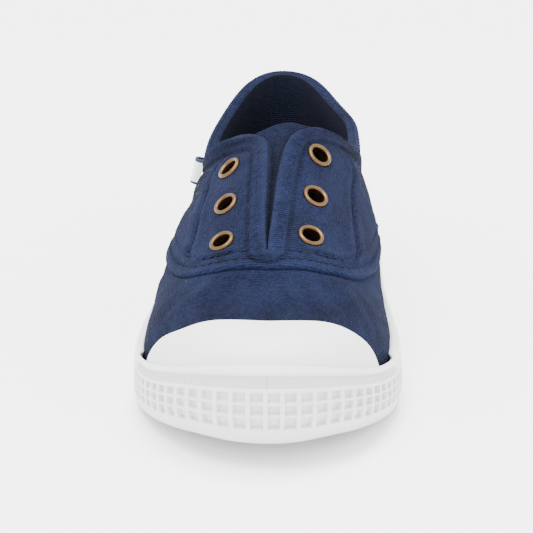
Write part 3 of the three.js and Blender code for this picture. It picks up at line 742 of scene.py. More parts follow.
def quarter_places(rows, cols):
    """Grid of places on the face for the quarters: from the lower edge to the top edge."""
    halves = {}
    for side in ("outer", "inner"):
        path = edges[side]
        t_path = np.stack([along(path[:, 0]), path[:, 1]], -1)
        points = face(path[:, 0], path[:, 1])
        run = np.concatenate([[0], np.cumsum(np.linalg.norm(np.diff(points, axis=0), axis=1))])
        t_end = t_path[-1, 0]
        t_front = t_path[0, 0]
        front = int(cols * 0.62)
        s = np.linspace(0, 1, front)
        te = np.interp(s * run[-1], run, t_path[:, 0])
        be = np.interp(s * run[-1], run, t_path[:, 1])
        t_fine = np.linspace(t_front, t_end, 400)
        top = face(around(side, t_fine), np.ones(400))
        run_top = np.concatenate([[0], np.cumsum(np.linalg.norm(np.diff(top, axis=0), axis=1))])
        tt = np.interp(s * run_top[-1], run_top, t_fine)
        back = np.linspace(t_end, 1, cols - front + 1)[1:]
        te = np.concatenate([te, back])
        be = np.concatenate([be, share_at_height(around(side, back), HIDDEN_FOOT)])
        tt = np.concatenate([tt, back])
        halves[side] = (te, be, tt)
    share = np.linspace(0, 1, rows)
    share = (0.35 * share + 0.65 * (1 - np.cos(np.pi * share)) / 2)[:, None]
    grids = []
    for side in ("outer", "inner"):
        te, be, tt = halves[side]
        t = te * (1 - share) + tt * share
        b = be * (1 - share) + share
        grids.append((t, b))
    U = np.concatenate([grids[0][0], (2 - grids[1][0])[:, ::-1][:, 1:]], axis=1)
    B = np.concatenate([grids[0][1], grids[1][1][:, ::-1][:, 1:]], axis=1)
    return U, B


def top_path(samples=1400):
    """Top edge behind the throat's foot, as points, both sides."""
    u = np.linspace(SLIT + 1e-4, 2 - SLIT - 1e-4, samples)
    return face(u, np.ones(samples))


TOP_PATH = top_path()


def quarter_height(base, U):
    """Height of the quarters above the face: a folded edge, a hem along the top with a crease inside
    it, the panel's stitched troughs and the folds."""
    from_edge = distance_to(base, ALL_EDGE)
    from_top = distance_to(base, TOP_PATH)
    from_panel = distance_to(base, ALL_PANEL)
    r = np.clip(from_edge / 1.0, 0, 1)
    high = 0.12 + (RISE - 0.12) * np.sqrt(1 - (1 - r) ** 2)
    high += 0.22 * bump(from_edge - 1.7, 1.2)
    high -= 0.24 * bump(from_edge - 3.3, 0.55) + 0.24 * bump(from_edge - 6.6, 0.6)
    hem = 1 - smoothstep(HEM["width"] - 0.3, HEM["width"] + 0.4, from_top)
    high += (HEM["rise"] - RISE) * hem - 0.3 * bump(from_top - (HEM["width"] + 0.7), 0.7)
    high -= 0.14 * bump(from_top - 3.2, 0.5)
    tip = np.clip(from_top / 0.9, 0, 1)
    high -= 0.75 * (1 - np.sqrt(1 - (1 - tip) ** 2))
    open_cloth = smoothstep(4.5, 7.5, from_edge) * smoothstep(5.5, 8, from_top)
    high += 0.4 * bump(from_panel - 2.0, 1.3) * open_cloth - 0.4 * bump(from_panel, 0.7) * open_cloth
    high += (folds(base, U) + ripple(base, *UNEVEN)) * open_cloth
    flat = smoothstep(EYELET["flange"] - 0.2, EYELET["flange"] + 2.0, from_eyelets(base))
    high = RISE + GAP * 0.5 + (high - RISE - GAP * 0.5) * flat
    return high, from_edge, from_top, from_panel


def make_quarters(material):
    """Quarters: the overlay as a grid from its lower edge to its top edge, lifted off the face."""
    U, B = quarter_places(92, 230)
    base = face(U, B)
    normal = normal_at(U, B)
    high, from_edge, from_top, from_panel = quarter_height(base, U)
    outside = base + normal * high[..., None]
    inside = base + normal * 0.06
    for grid in (outside, inside):
        join_ridge(grid, U[-1])
    centre = (base[:-1, :-1] + base[1:, 1:]) / 2
    kept = from_eyelets(centre) > EYELET["hole"]
    ridge = along(U[-1]) <= SLIT + 1e-9
    top_wall = ~(ridge[:-1] & ridge[1:])
    points, quads = shell(outside, inside, kept, False, top_wall)
    uv = cloth_map(U, B).reshape(-1, 2)
    # Lighter wear along the folded lower edge, along the top and on the ridge beside the panel
    wear_and_painted_shade = 0.9 * bump(from_edge - 0.6, 0.9) + 0.8 * bump(from_top - 0.6, 0.9)
    wear_and_painted_shade += 0.35 * bump(from_panel - 1.6, 0.9)
    # Painted shade: darker in the hem's inner crease, in the panel's stitched trough and in the two
    # stitched troughs along the edge
    wear_and_painted_shade -= 0.8 * bump(from_top - 5.3, 0.8) + 0.8 * bump(from_panel, 0.8)
    wear_and_painted_shade -= 0.45 * bump(from_edge - 3.3, 0.7) + 0.45 * bump(from_edge - 6.6, 0.7)
    wear_and_painted_shade = np.clip(wear_and_painted_shade, -0.9, 1).reshape(-1)
    return add_piece("canvas_quarters", points, quads, material, ("quarters",),
                     np.concatenate([uv, uv]), np.concatenate([wear_and_painted_shade, wear_and_painted_shade * 0 - 1]), 70)


def make_toe_cap(material):
    """Toe cap: a shell over the toe from inside the rim up to its rear edge, whose lip is rounded."""
    cols, rows = 240, 46
    edge = natural([r[0] for r in CAP_EDGE], [r[1] for r in CAP_EDGE])
    reach = float(place(43.0))
    t = np.linspace(0, reach, 400)
    ends = []
    for side in ("outer", "inner"):
        u = around(side, t)
        low = share_at_height(u, wall["rim"](station(u)) - 3.0)
        top = share_where(u, lambda p: p[..., 1] - edge(np.abs(p[..., 0])), 0.0, 1.0)
        last = np.argmax(top <= low + 1e-3)
        ends.append(t[last] if last else reach)
    u = np.concatenate([2 - np.linspace(ends[1], 0, cols // 2), np.linspace(0, ends[0], cols // 2)[1:]])
    low = share_at_height(u, wall["rim"](station(u)) - 3.0)
    top = share_where(u, lambda p: p[..., 1] - edge(np.abs(p[..., 0])), 0.0, 1.0)
    top = np.maximum(top, low + 1e-3)
    share = np.linspace(0, 1, rows)[:, None]
    share = np.sin(share * np.pi / 2)
    U = np.broadcast_to(u, (rows, len(u)))
    B = low + (top - low) * share
    base = face(U, B)
    normal = normal_at(U, B)
    rear = face(u, top)
    gap = distance_to(base, spaced(rear, 700))
    r = np.clip(gap / 1.1, 0, 1)
    high = 0.08 + (CAP_RISE - 0.08) * np.sqrt(1 - (1 - r) ** 2)
    outside = base + normal * high[..., None]
    inside = base + normal * 0.05
    points, quads = shell(outside, inside)
    return add_piece("rubber_toe_cap", points, quads, material, ("toe_cap",), None, None, 60)


def side_inset(y, share):
    """How far in from the outline the side stands: power curves below and above its belly."""
    belly = SIDE_CURVE["belly"]
    below = wall["tread"](y) * np.clip((belly - share) / belly, 0, 1) ** SIDE_CURVE["under"]
    above = wall["lip"](y) * np.clip((share - belly) / (1 - belly), 0, 1) ** SIDE_CURVE["over"]
    return below + above


def sole_places():
    """Columns of the sole: six to each square, at even steps of the outline's length, both sides."""
    fine = np.linspace(0, 1, 4001)
    runs = []
    for side in ("outer", "inner"):
        p = outline_at(around(side, fine))
        runs.append(np.concatenate([[0], np.cumsum(np.linalg.norm(np.diff(p, axis=0), axis=1))]))
    run = (runs[0] + runs[1]) / 2
    count = int(round(run[-1] / SQUARE["pitch"]))
    low, high, bevel = SQUARE["from"], SQUARE["to"], SQUARE["bevel"]
    marks = np.array([0.0, low - bevel, low, (low + high) / 2, high, high + bevel])
    sunk = np.array([0.0, 0.0, 1.0, 1.0, 1.0, 0.0])
    where = (np.arange(count)[:, None] + marks).ravel() * run[-1] / count
    mask = np.tile(sunk, count)
    t = np.interp(where, run, fine)
    u = np.concatenate([t, [1.0], 2 - t[:0:-1]])
    inside = np.concatenate([mask, [0.0], mask[:0:-1]])
    return u, inside


def make_sole(material):
    """Sole: a ring of columns from the tread's middle out, up the relief of the side, over the rim
    and down inside to the bed, closed by a fan of bands under and over."""
    u, square = sole_places()
    y = station(u)
    p = outline_at(u)
    out = outwards(u)
    rim = wall["rim"](y)
    floor = tread_height(p[:, 1])
    outer_side = is_outer(u)
    bare = outer_side & (y > BARE_PANEL[0]) & (y < BARE_PANEL[1])
    ribbed = 1 - smoothstep(RIBBED[0], RIBBED[1], y)

    def at(share, sink):
        """The side at a share of its height: the outline moved in by the side's curve and the sink."""
        q = p - out * (side_inset(y, share) + sink)[:, None]
        q[:, 2] = floor + (rim - floor) * share
        return q

    rows = [at(0.0, np.zeros_like(y))]
    shares = [0.0]
    for kind, low, high, deep in SIDE:
        steps = 5 if kind == "foot" else (3 if kind in ("ribbed", "lip") else 2)
        for share in np.linspace(low, high, steps):
            if kind == "squares":
                sink = deep * square * ~bare
            elif kind == "ribbed":
                sink = deep * ribbed
            else:
                sink = np.zeros_like(y)
            if kind == "lip":
                sink = sink - 0.25 * math.sin(math.pi * (share - low) / (high - low))
            rows.append(at(share, sink))
            shares.append(share)
    under_cap = CAP_RISE + GAP
    under_quarters = RISE + GAP
    away = under_cap + (GAP - under_cap) * smoothstep(43, 49, y)
    away = away + (under_quarters - away) * smoothstep(108, 115, y)
    away = away - 0.25
    rim_share = share_at_height(u, rim)
    inner = layer(u, rim_share, away)
    inner[:, 2] = rim
    outer_lip = at(0.975, np.zeros_like(y))
    for share, lift in ((0.18, 0.0), (0.55, 0.05), (0.85, -0.1)):
        q = outer_lip * (1 - share) + inner * share
        q[:, 2] = rim + lift
        rows.append(q)
        shares.append(1.0)
    inner[:, 2] = rim - 0.45
    rows.append(inner)
    shares.append(1.0)
    for part in (0.7, 0.4, 0.15):
        rows.append(layer(u, rim_share * part, away))
        shares.append(1.0)
    corner = layer(u, np.zeros_like(u), away)
    corner[:, 2] = tread_height(corner[:, 1]) + BED
    rows.append(corner)
    shares.append(1.0)
    grid = np.stack(rows)
    count = len(u)
    index = np.arange(grid.shape[0] * count).reshape(grid.shape[0], count)
    right = np.roll(index, -1, axis=1)
    quads = [np.stack([index[1:], right[1:], right[:-1], index[:-1]], -1).reshape(-1, 4)]
    points = [grid.reshape(-1, 3)]
    half = (count + 1) // 2
    left_ring = np.arange(half)
    right_ring = (count - left_ring) % count

    def ladder(row, up, shape):
        """Bands across from each place on the outer side to its like on the inner side."""
        steps = 20
        a = row[left_ring]
        b = row[right_ring]
        s = np.linspace(0, 1, steps + 1)[None, :, None]
        cells = a[:, None] * (1 - s) + b[:, None] * s
        cells[..., 2] = shape(cells)
        cells[:, 0] = a
        cells[:, -1] = b
        base = sum(len(q) for q in points)
        k = np.arange(half * (steps + 1)).reshape(half, steps + 1) + base
        q = np.stack([k[:-1, :-1], k[1:, :-1], k[1:, 1:], k[:-1, 1:]], -1).reshape(-1, 4)
        quads.append(q if not up else q[:, ::-1])
        points.append(cells.reshape(-1, 3))

    def tread(cells):
        """Height of the underside: the tread's own, raised in the cross grooves by soft steps."""
        z = tread_height(cells[..., 1])
        cut = np.zeros_like(z)

        def step_down(gap):
            """One in a groove's floor, falling to nought at its brink."""
            return 1 - smoothstep(GROOVE["floor"], GROOVE["brink"], np.abs(gap))

        for low, high in (GROOVE["forefoot"], GROOVE["heel"]):
            for mid in range(low, high + 1, GROOVE["pitch"]):
                cut = np.maximum(cut, step_down(cells[..., 1] - mid))
        return z + GROOVE["deep"] * cut * (1 - smoothstep(*GROOVE_ENDS, np.abs(cells[..., 0])))

    ladder(grid[0], False, tread)
    ladder(grid[-1], True, lambda cells: tread_height(cells[..., 1]) + BED)
    all_points = np.concatenate(points)
    run = cloth_map(u, np.zeros_like(u))[:, 0]
    uv = np.zeros((len(all_points), 2))
    uv[:grid.shape[0] * count, 0] = np.tile(run, grid.shape[0])
    uv[:grid.shape[0] * count, 1] = np.repeat(np.array(shares), count)
    return add_piece("rubber_sole", all_points, np.concatenate(quads), material,
                     ("outsole",), uv, None, 34)


def make_tongue(material):
    """Tongue: rows across from under one facing, over a bowed middle, to under the other, running on
    past the facings to a rounded top. Round the eyelets it gets the lining's dark colour as painted shade."""
    stations = np.linspace(TONGUE["front"], TONGUE["back"], 60)
    shares = np.linspace(TONGUE["side"], 1.0, 22)
    t = place(stations)
    low = -CANVAS - TONGUE["under"]
    halves = []
    for side in ("outer", "inner"):
        T, S = np.meshgrid(around(side, t), shares, indexing="ij")
        halves.append(layer(T, S, np.full(T.shape, low)))
    a = halves[0]
    b = halves[1][:, ::-1]
    s = np.linspace(0, 1, 12)[1:-1][None, :, None]
    ta = a[:, -1] - a[:, -3]
    tb = b[:, 0] - b[:, 2]
    wide = np.linalg.norm(a[:, -1] - b[:, 0], axis=-1)[:, None]
    pa = (a[:, -1] + unit(ta) * wide * TONGUE["bow"])[:, None]
    pb = (b[:, 0] + unit(tb) * wide * TONGUE["bow"])[:, None]
    r = 1 - s
    middle = a[:, -1:] * r ** 3 + pa * 3 * r ** 2 * s + pb * 3 * r * s * s + b[:, :1] * s ** 3
    sheet = np.concatenate([a, middle, b], axis=1)
    cols = sheet.shape[1]
    q = np.abs(np.linspace(-1, 1, cols))
    onward = unit(sheet[-1] - sheet[-6])
    ahead = []
    for k in np.linspace(0, 1, 12)[1:]:
        tall = TONGUE["stands"] * (1 - np.clip(q / 0.98, 0, 1) ** TONGUE["corner"])
        step = onward * (tall * k)[:, None]
        step[:, 2] -= TONGUE["sags"] * k * k
        flatter = TONGUE["flatter"] * float(smoothstep(0.25, 1, k)) * (1 - q ** 4)
        step[:, 2] += flatter * (sheet[-1, cols // 2, 2] - sheet[-1, :, 2])
        ahead.append(sheet[-1] + step)
    sheet = np.concatenate([sheet, np.stack(ahead)], axis=0)
    run = np.gradient(sheet, axis=0)
    over = np.gradient(sheet, axis=1)
    normal = unit(np.cross(over, run))
    normal = np.where(normal[..., 2:] < 0, -normal, normal)
    sheet = sheet[::-1]
    normal = normal[::-1]
    points, quads = shell(sheet, sheet - normal * TONGUE["thick"])
    length = np.arange(sheet.shape[0])[:, None] * 0.078 + np.zeros(cols)
    width = np.zeros(sheet.shape[:2]) + np.linspace(0, 6.0, cols)
    uv = np.stack([width, length], -1).reshape(-1, 2)
    # Painted shade: a mask round each eyelet's axis, where the tongue gets the lining's dark colour in
    # place of the shade seen down the holes
    under = np.zeros(sheet.shape[:2])
    for _, centre, axis in eyelet_axes:
        d = sheet - centre
        high = d @ axis
        flat = np.linalg.norm(d - high[..., None] * axis, axis=-1)
        under = np.maximum(under, 1 - smoothstep(3.6, 5.0, flat))
    # Minus the mask, so the cloth material gives it the lining's colour as painted shade
    wear_and_painted_shade = -under.reshape(-1)
    return add_piece("canvas_tongue", points, quads, material, ("tongue",),
                     np.concatenate([uv, uv]), np.concatenate([wear_and_painted_shade, wear_and_painted_shade]), 50)


def frame_of(axis):
    """Two directions square to an axis and to each other, by cross products."""
    side = unit(np.cross(axis, [0.0, 1.0, 0.0]))
    return side, np.cross(axis, side)


def make_eyelet(name, centre, axis, material):
    """Eyelet: a rolled flange and a straight barrel, turned about the upper's normal."""
    seat = RISE + GAP * 0.5
    roll = [(math.cos(a), math.sin(a)) for a in np.linspace(-0.25, math.pi, 13)]
    mid = (EYELET["flange"] + EYELET["bore"]) / 2
    wide = (EYELET["flange"] - EYELET["bore"]) / 2
    profile = [(EYELET["barrel"], -CANVAS)]
    profile += [(EYELET["barrel"], seat - 0.25)]
    profile += [(mid + wide * c, seat + 0.12 + 0.72 * s) for c, s in roll]
    profile += [(EYELET["bore"] + 0.02, seat - 0.3), (EYELET["bore"], -CANVAS), (EYELET["barrel"], -CANVAS)]
    profile = np.array(profile)
    turn = np.linspace(0, 2 * np.pi, 57)[:-1]
    right, back = frame_of(axis)
    ring = right * np.cos(turn)[:, None] + back * np.sin(turn)[:, None]
    grid = centre + profile[:, None, :1] * ring[None] + profile[:, None, 1:] * axis
    count = len(turn)
    index = np.arange(len(profile) * count).reshape(len(profile), count)
    after = np.roll(index, -1, axis=1)
    quads = np.stack([index[1:], after[1:], after[:-1], index[:-1]], -1).reshape(-1, 4)
    points = grid.reshape(-1, 3)
    a, b, c = (points[quads[:, k]] - centre for k in range(3))
    volume = np.einsum("ij,ij->i", a, np.cross(b, c))
    if volume.sum() < 0:
        quads = quads[:, ::-1]
    return add_piece("brass_" + name, points, quads, material, (name,), None, None, 45)


def make_tab(material):
    """Side tab: a tape folded double, its plan an arch between two straight legs, carried up."""
    u = around("outer", place(TAB["base"]))
    u = np.array([float(u)])
    share = share_at_height(u, TAB["z"] + TAB["tall"] / 2)
    root = layer(u, share, np.array([RISE + TAB["away"]]))[0]
    out = normal_at(u, share)[0]
    back = unit(np.array([0.0, 1.0, 0.0]) - out * out[1])
    rise = np.cross(back, out)
    half, stands, cloth, tall = TAB["half"], TAB["stands"], TAB["cloth"], TAB["tall"]
    bow = np.linspace(0, np.pi, 19)

    def arch(radius):
        """Plan of the tape: a leg, a half circle of the given radius, and a leg."""
        legs = [[0.0, -radius]]
        bend = np.stack([(stands - half) + radius * np.sin(bow), -radius * np.cos(bow)], -1)
        return np.concatenate([legs, bend, [[0.0, radius]]])

    outer_path = arch(half)
    inner_path = arch(half - cloth)
    high = np.linspace(-0.5, 0.5, 15)
    soft = 1 - 0.10 * np.abs(2 * high) ** 6
    grids = []
    middle = (outer_path + inner_path) / 2
    for path in (outer_path, inner_path):
        p = middle + (path - middle) * soft[:, None, None]
        point = root + p[..., :1] * out + p[..., 1:] * back + (high * tall)[:, None, None] * rise
        grids.append(point)
    points, quads = shell(grids[0], grids[1])
    run = np.linspace(0, 1, len(outer_path))
    uv = np.stack(np.meshgrid(run, high + 0.5), -1).reshape(-1, 2)
    return add_piece("tape_tab", points, quads, material, ("side_tab",),
                     np.concatenate([uv, uv]), None, 50)


# Stitches

def stitch_rows(paths):
    """Joined stitches: low round beads, each a ring of six carried along five places of its length.

    The radius follows a half ellipse, and the middle of a stitch stands above its ends."""
    pitch, length, thick = STITCH["pitch"], STITCH["length"], STITCH["thick"]
    points = []
    quads = []
    total = 0
    ring = np.arange(6) * np.pi / 3
    s = np.linspace(-1, 1, 5)
    radius = np.sqrt(np.clip(1.02 - s ** 2, 0.02, 1))
    for u, b, away in paths:
        base = layer(u, b, away)
        run = np.concatenate([[0], np.cumsum(np.linalg.norm(np.diff(base, axis=0), axis=1))])
        count = max(int(run[-1] / pitch), 1)
        mid = (np.arange(count) + 0.5) * run[-1] / count

        def read(values):
            """Values at the middles of the stitches, by straight interpolation."""
            return np.stack([np.interp(mid, run, values[:, k]) for k in range(3)], -1)

        centre = read(base)
        up = unit(read(normal_at(u, b)))
        ahead = unit(read(np.gradient(base, axis=0)))
        over = np.cross(up, ahead)
        lift = (1 - s ** 2) * thick * 0.55 - thick * 0.25
        c = centre[:, None] + ahead[:, None] * (s * length / 2)[None, :, None]
        c = c + up[:, None] * lift[None, :, None]
        wide = radius[:, None] * np.cos(ring) * thick * 0.62
        tall = radius[:, None] * np.sin(ring) * thick * 0.5
        p = c[:, :, None] + over[:, None, None] * wide[None, ..., None]
        p = p + up[:, None, None] * tall[None, ..., None]
        n = p.shape[0]
        k = np.arange(n * 30).reshape(n, 5, 6) + total
        nxt = np.roll(k, -1, axis=2)
        quads.append(np.stack([k[:, :-1], nxt[:, :-1], nxt[:, 1:], k[:, 1:]], -1).reshape(-1, 4))
        for end, order in ((0, (0, 5, 4, 3, 2, 1)), (4, (0, 1, 2, 3, 4, 5))):
            e = k[:, end][:, order]
            quads.append(np.stack([e[:, 0], e[:, 1], e[:, 2], e[:, 3]], -1))
            quads.append(np.stack([e[:, 0], e[:, 3], e[:, 4], e[:, 5]], -1))
        points.append(p.reshape(-1, 3))
        total += n * 30
    return np.concatenate(points), np.concatenate(quads)


def contour(U, B, field, value):
    """Places where a field first reaches a value on its way up each column, by straight interpolation."""
    above = field >= value
    hit = np.argmax(above, axis=0)
    cols = np.arange(field.shape[1])
    good = (hit > 0) & above.any(axis=0)
    hit = np.maximum(hit, 1)
    low, high = field[hit - 1, cols], field[hit, cols]
    share = np.clip((value - low) / np.maximum(high - low, 1e-9), 0, 1)
    u = U[hit - 1, cols] * (1 - share) + U[hit, cols] * share
    b = B[hit - 1, cols] * (1 - share) + B[hit, cols] * share
    return u[good], b[good]


def make_stitches(material):
    """All rows of stitches: two along the overlay's edge, one in the hem, and the panel's."""
    paths = []
    U, B = quarter_places(140, 400)
    field = distance_to(face(U, B), ALL_EDGE)
    half = U.shape[1] // 2
    for columns_of_side in (slice(0, half), slice(half, None)):
        for inward in STITCH_ROWS:
            u, b = contour(U[:, columns_of_side], B[:, columns_of_side], field[:, columns_of_side], inward)
            keep = face(u, b)[:, 2] > wall["rim"](station(u)) + 1.0
            paths.append((u[keep], b[keep], np.full(keep.sum(), RISE)))
    for side in ("outer", "inner"):
        t = np.linspace(SLIT + 0.008, 1.0, 500)
        u = around(side, t)
        top = face(u, np.ones_like(u))
        b = share_where(u, lambda p: -np.linalg.norm(p - top, axis=-1), -HEM_ROW)
        paths.append((u, b, np.full(len(u), HEM["rise"] - 0.1)))
        fine = spaced(panels[side], 300)
        paths.append((fine[:, 0], fine[:, 1], np.full(300, RISE - 0.15)))
    points, quads = stitch_rows(paths)
    return add_piece("stitches", points, quads, material, (), None, None, 60)


# Materials

def socket(group, name, kind, out, default=None):
    """A socket on the outside of a group."""
    s = group.interface.new_socket(name=name, in_out="OUTPUT" if out else "INPUT", socket_type=kind)
    if default is not None:
        s.default_value = default
    return s


class Net:
    """Short hand for building node nets."""

    def __init__(self, tree):
        self.tree = tree

    def add(self, kind, inputs=None, **settings):
        node = self.tree.nodes.new(kind)
        for key, value in settings.items():
            setattr(node, key, value)
        for key, value in (inputs or {}).items():
            if hasattr(value, "is_output"):
                self.tree.links.new(value, node.inputs[key])
            else:
                node.inputs[key].default_value = value
        return node

    def math(self, operation, a, b=0.0, clamp=False):
        return self.add("ShaderNodeMath", {0: a, 1: b}, operation=operation, use_clamp=clamp).outputs[0]

    def noise(self, vector, scale, detail, roughness):
        """Fractal noise of the given fineness, octaves and weight of the finer ones."""
        inputs = {"Vector": vector, "Scale": scale, "Detail": detail, "Roughness": roughness}
        return self.add("ShaderNodeTexNoise", inputs)

    def mix(self, share, a, b):
        node = self.add("ShaderNodeMix", {0: share, 6: a, 7: b}, data_type="RGBA")
        return node.outputs[2]


def weave_group():
    """Plain weave: two sets of threads as sines of the cloth map, each fading where it goes under."""
    group = bpy.data.node_groups.new("plain_weave", "ShaderNodeTree")
    socket(group, "Map", "NodeSocketVector", False)
    socket(group, "Threads", "NodeSocketFloat", False, 16.0)
    socket(group, "Height", "NodeSocketFloat", True)
    net = Net(group)
    ins = net.add("NodeGroupInput")
    outs = net.add("NodeGroupOutput")
    parts = net.add("ShaderNodeSeparateXYZ", {0: ins.outputs["Map"]})
    waves = []
    turns = net.math("MULTIPLY", ins.outputs["Threads"], math.pi)
    for axis in (0, 1):
        angle = net.math("MULTIPLY", parts.outputs[axis], turns)
        waves.append(net.math("SINE", angle))
    warp = net.math("ABSOLUTE", waves[0])
    weft = net.math("ABSOLUTE", waves[1])
    over = net.math("MULTIPLY", waves[0], waves[1])
    share = net.math("MULTIPLY_ADD", over, 0.5)
    share.node.inputs[2].default_value = 0.5
    a = net.math("MULTIPLY", warp, share)
    b = net.math("MULTIPLY", weft, net.math("SUBTRACT", 1.0, share))
    group.links.new(net.math("ADD", a, b), outs.inputs["Height"])
    return group


def wash_group():
    """Washed cloth: broad clouds, finer blotches and thread-size specks, from object coordinates."""
    group = bpy.data.node_groups.new("washed_cloth", "ShaderNodeTree")
    socket(group, "Dark", "NodeSocketColor", False, (0.01, 0.02, 0.06, 1))
    socket(group, "Light", "NodeSocketColor", False, (0.04, 0.1, 0.3, 1))
    # Above nought this is wear, which lightens. Below nought it is painted shade, which darkens.
    socket(group, "Wear and painted shade", "NodeSocketFloat", False, 0.0)
    socket(group, "Color", "NodeSocketColor", True)
    net = Net(group)
    ins = net.add("NodeGroupInput")
    outs = net.add("NodeGroupOutput")
    place_node = net.add("ShaderNodeTexCoord").outputs["Object"]
    cloud = net.noise(place_node, 62.0, 4.0, 0.6)
    blot = net.noise(place_node, 260.0, 5.0, 0.7)
    speck = net.noise(place_node, 1000.0, 3.0, 0.8)
    total = net.math("MULTIPLY", cloud.outputs[0], WASH["cloud"])
    total = net.math("ADD", total, net.math("MULTIPLY", blot.outputs[0], WASH["blot"]))
    total = net.math("ADD", total, net.math("MULTIPLY", speck.outputs[0], WASH["speck"]))
    # Wear lightens the dye and painted shade darkens it, by the sign of the attribute
    total = net.math("ADD", total, net.math("MULTIPLY", ins.outputs["Wear and painted shade"], WASH["wear_and_painted_shade"]))
    total = net.math("SUBTRACT", total, WASH["less"], True)
    color = net.mix(total, ins.outputs["Dark"], ins.outputs["Light"])
    group.links.new(color, outs.inputs["Color"])
    return group


def new_material(name):
    """A new material, its net and its main shader."""
    material = bpy.data.materials.new(name)
    material.use_nodes = True
    net = Net(material.node_tree)
    shader = next(n for n in material.node_tree.nodes if n.type == "BSDF_PRINCIPLED")
    return material, net, shader


def cloth_material(name, groups, dark, light, threads, lining, depth=0.9):
    """Washed cloth with a weave, lighter where the attribute gives wear and darker where it gives painted
    shade. Where the attribute is close to minus one, the lining's colour is used: on the lining itself, and
    as painted shade on the tongue under the eyelets.
    """
    material, net, shader = new_material(name)
    weave, wash = groups
    wear_and_painted_shade = net.add("ShaderNodeAttribute", attribute_name="wear_and_painted_shade").outputs["Fac"]
    wear_and_shade_clamped = net.math("MAXIMUM", wear_and_painted_shade, -0.7)
    color = net.add("ShaderNodeGroup", node_tree=wash)
    color.inputs["Dark"].default_value = dark
    color.inputs["Light"].default_value = light
    net.tree.links.new(wear_and_shade_clamped, color.inputs["Wear and painted shade"])
    # Below minus 0.95 the lining's colour: the lining itself, and painted shade on the tongue under the
    # eyelets
    inside = net.math("LESS_THAN", wear_and_painted_shade, -0.95)
    mixed = net.mix(inside, color.outputs["Color"], lining)
    net.tree.links.new(mixed, shader.inputs["Base Color"])
    cloth = net.add("ShaderNodeUVMap", uv_map="cloth").outputs[0]
    threads_node = net.add("ShaderNodeGroup", node_tree=weave)
    net.tree.links.new(cloth, threads_node.inputs["Map"])
    threads_node.inputs["Threads"].default_value = threads
    grain = net.noise(net.add("ShaderNodeTexCoord").outputs["Object"], 1100.0, 3.0, 0.7)
    height = net.math("ADD", threads_node.outputs["Height"], net.math("MULTIPLY", grain.outputs[0], 1.1))
    bump_node = net.add("ShaderNodeBump", {"Height": height, "Strength": depth, "Distance": 0.0006})
    net.tree.links.new(bump_node.outputs[0], shader.inputs["Normal"])
    shader.inputs["Roughness"].default_value = 0.95
    shader.inputs["Specular IOR Level"].default_value = 0.022
    shader.inputs["Sheen Weight"].default_value = 0.018
    shader.inputs["Sheen Roughness"].default_value = 0.5
    return material


def rubber_material(name, color, ribs):
    """White rubber with a faint unevenness; on the sole, fine upright ribs in the ribbed band."""
    material, net, shader = new_material(name)
    place_node = net.add("ShaderNodeTexCoord").outputs["Object"]
    soil = net.noise(place_node, 90.0, 5.0, 0.6)
    low = tuple(c * 0.93 for c in color[:3]) + (1,)
    net.tree.links.new(net.mix(soil.outputs[0], low, color), shader.inputs["Base Color"])
    grain = net.noise(place_node, 700.0, 2.0, 0.5)
    height = net.math("MULTIPLY", grain.outputs[0], 0.12)
    if ribs:
        parts = net.add("ShaderNodeSeparateXYZ", {0: net.add("ShaderNodeUVMap", uv_map="cloth").outputs[0]})
        wave = net.math("SINE", net.math("MULTIPLY", parts.outputs[0], 2 * math.pi / RIB_PITCH))
        above = net.math("GREATER_THAN", parts.outputs[1], 0.77)
        below = net.math("LESS_THAN", parts.outputs[1], 0.91)
        front = net.add("ShaderNodeSeparateXYZ", {0: place_node}).outputs[1]
        ahead = net.math("LESS_THAN", front, (RIBS_END - MIDDLE[1]) * 0.001)
        band = net.math("MULTIPLY", net.math("MULTIPLY", above, below), ahead)
        height = net.math("ADD", height, net.math("MULTIPLY", net.math("MULTIPLY", wave, band), 2.0))
    bump_node = net.add("ShaderNodeBump", {"Height": height, "Strength": 0.6, "Distance": 0.0004})
    net.tree.links.new(bump_node.outputs[0], shader.inputs["Normal"])
    shader.inputs["Roughness"].default_value = 0.5
    shader.inputs["Specular IOR Level"].default_value = 0.35
    return material


def brass_material():
    """Antique brass: warm metal, darkened in patches by its patina."""
    material, net, shader = new_material("antique_brass")
    place_node = net.add("ShaderNodeTexCoord").outputs["Object"]
    patina = net.noise(place_node, 420.0, 4.0, 0.6)
    color = net.mix(patina.outputs[0], BRASS["bright"], BRASS["dark"])
    net.tree.links.new(color, shader.inputs["Base Color"])
    rough = net.math("ADD", net.math("MULTIPLY", patina.outputs[0], 0.3), 0.22)
    net.tree.links.new(rough, shader.inputs["Roughness"])
    shader.inputs["Metallic"].default_value = 1.0
    return material


def tape_material(navy):
    """White woven tape with a navy line along both its edges."""
    material, net, shader = new_material("white_tape")
    parts = net.add("ShaderNodeSeparateXYZ", {0: net.add("ShaderNodeUVMap", uv_map="cloth").outputs[0]})
    off = net.math("ABSOLUTE", net.math("SUBTRACT", parts.outputs[1], 0.5))
    line = net.math("GREATER_THAN", off, 0.4)
    net.tree.links.new(net.mix(line, TAPE_WHITE, navy), shader.inputs["Base Color"])
    rib = net.math("SINE", net.math("MULTIPLY", parts.outputs[1], 90.0))
    bump_node = net.add("ShaderNodeBump", {"Height": rib, "Strength": 0.3, "Distance": 0.0002})
    net.tree.links.new(bump_node.outputs[0], shader.inputs["Normal"])
    shader.inputs["Roughness"].default_value = 0.85
    return material


MATERIALS = {}


def color_prop(name, description, default):
    """A colour with its name, what it is for and its first value."""
    return bpy.props.FloatVectorProperty(name=name, description=description, subtype="COLOR", size=4,
                                         min=0, max=1, default=default)


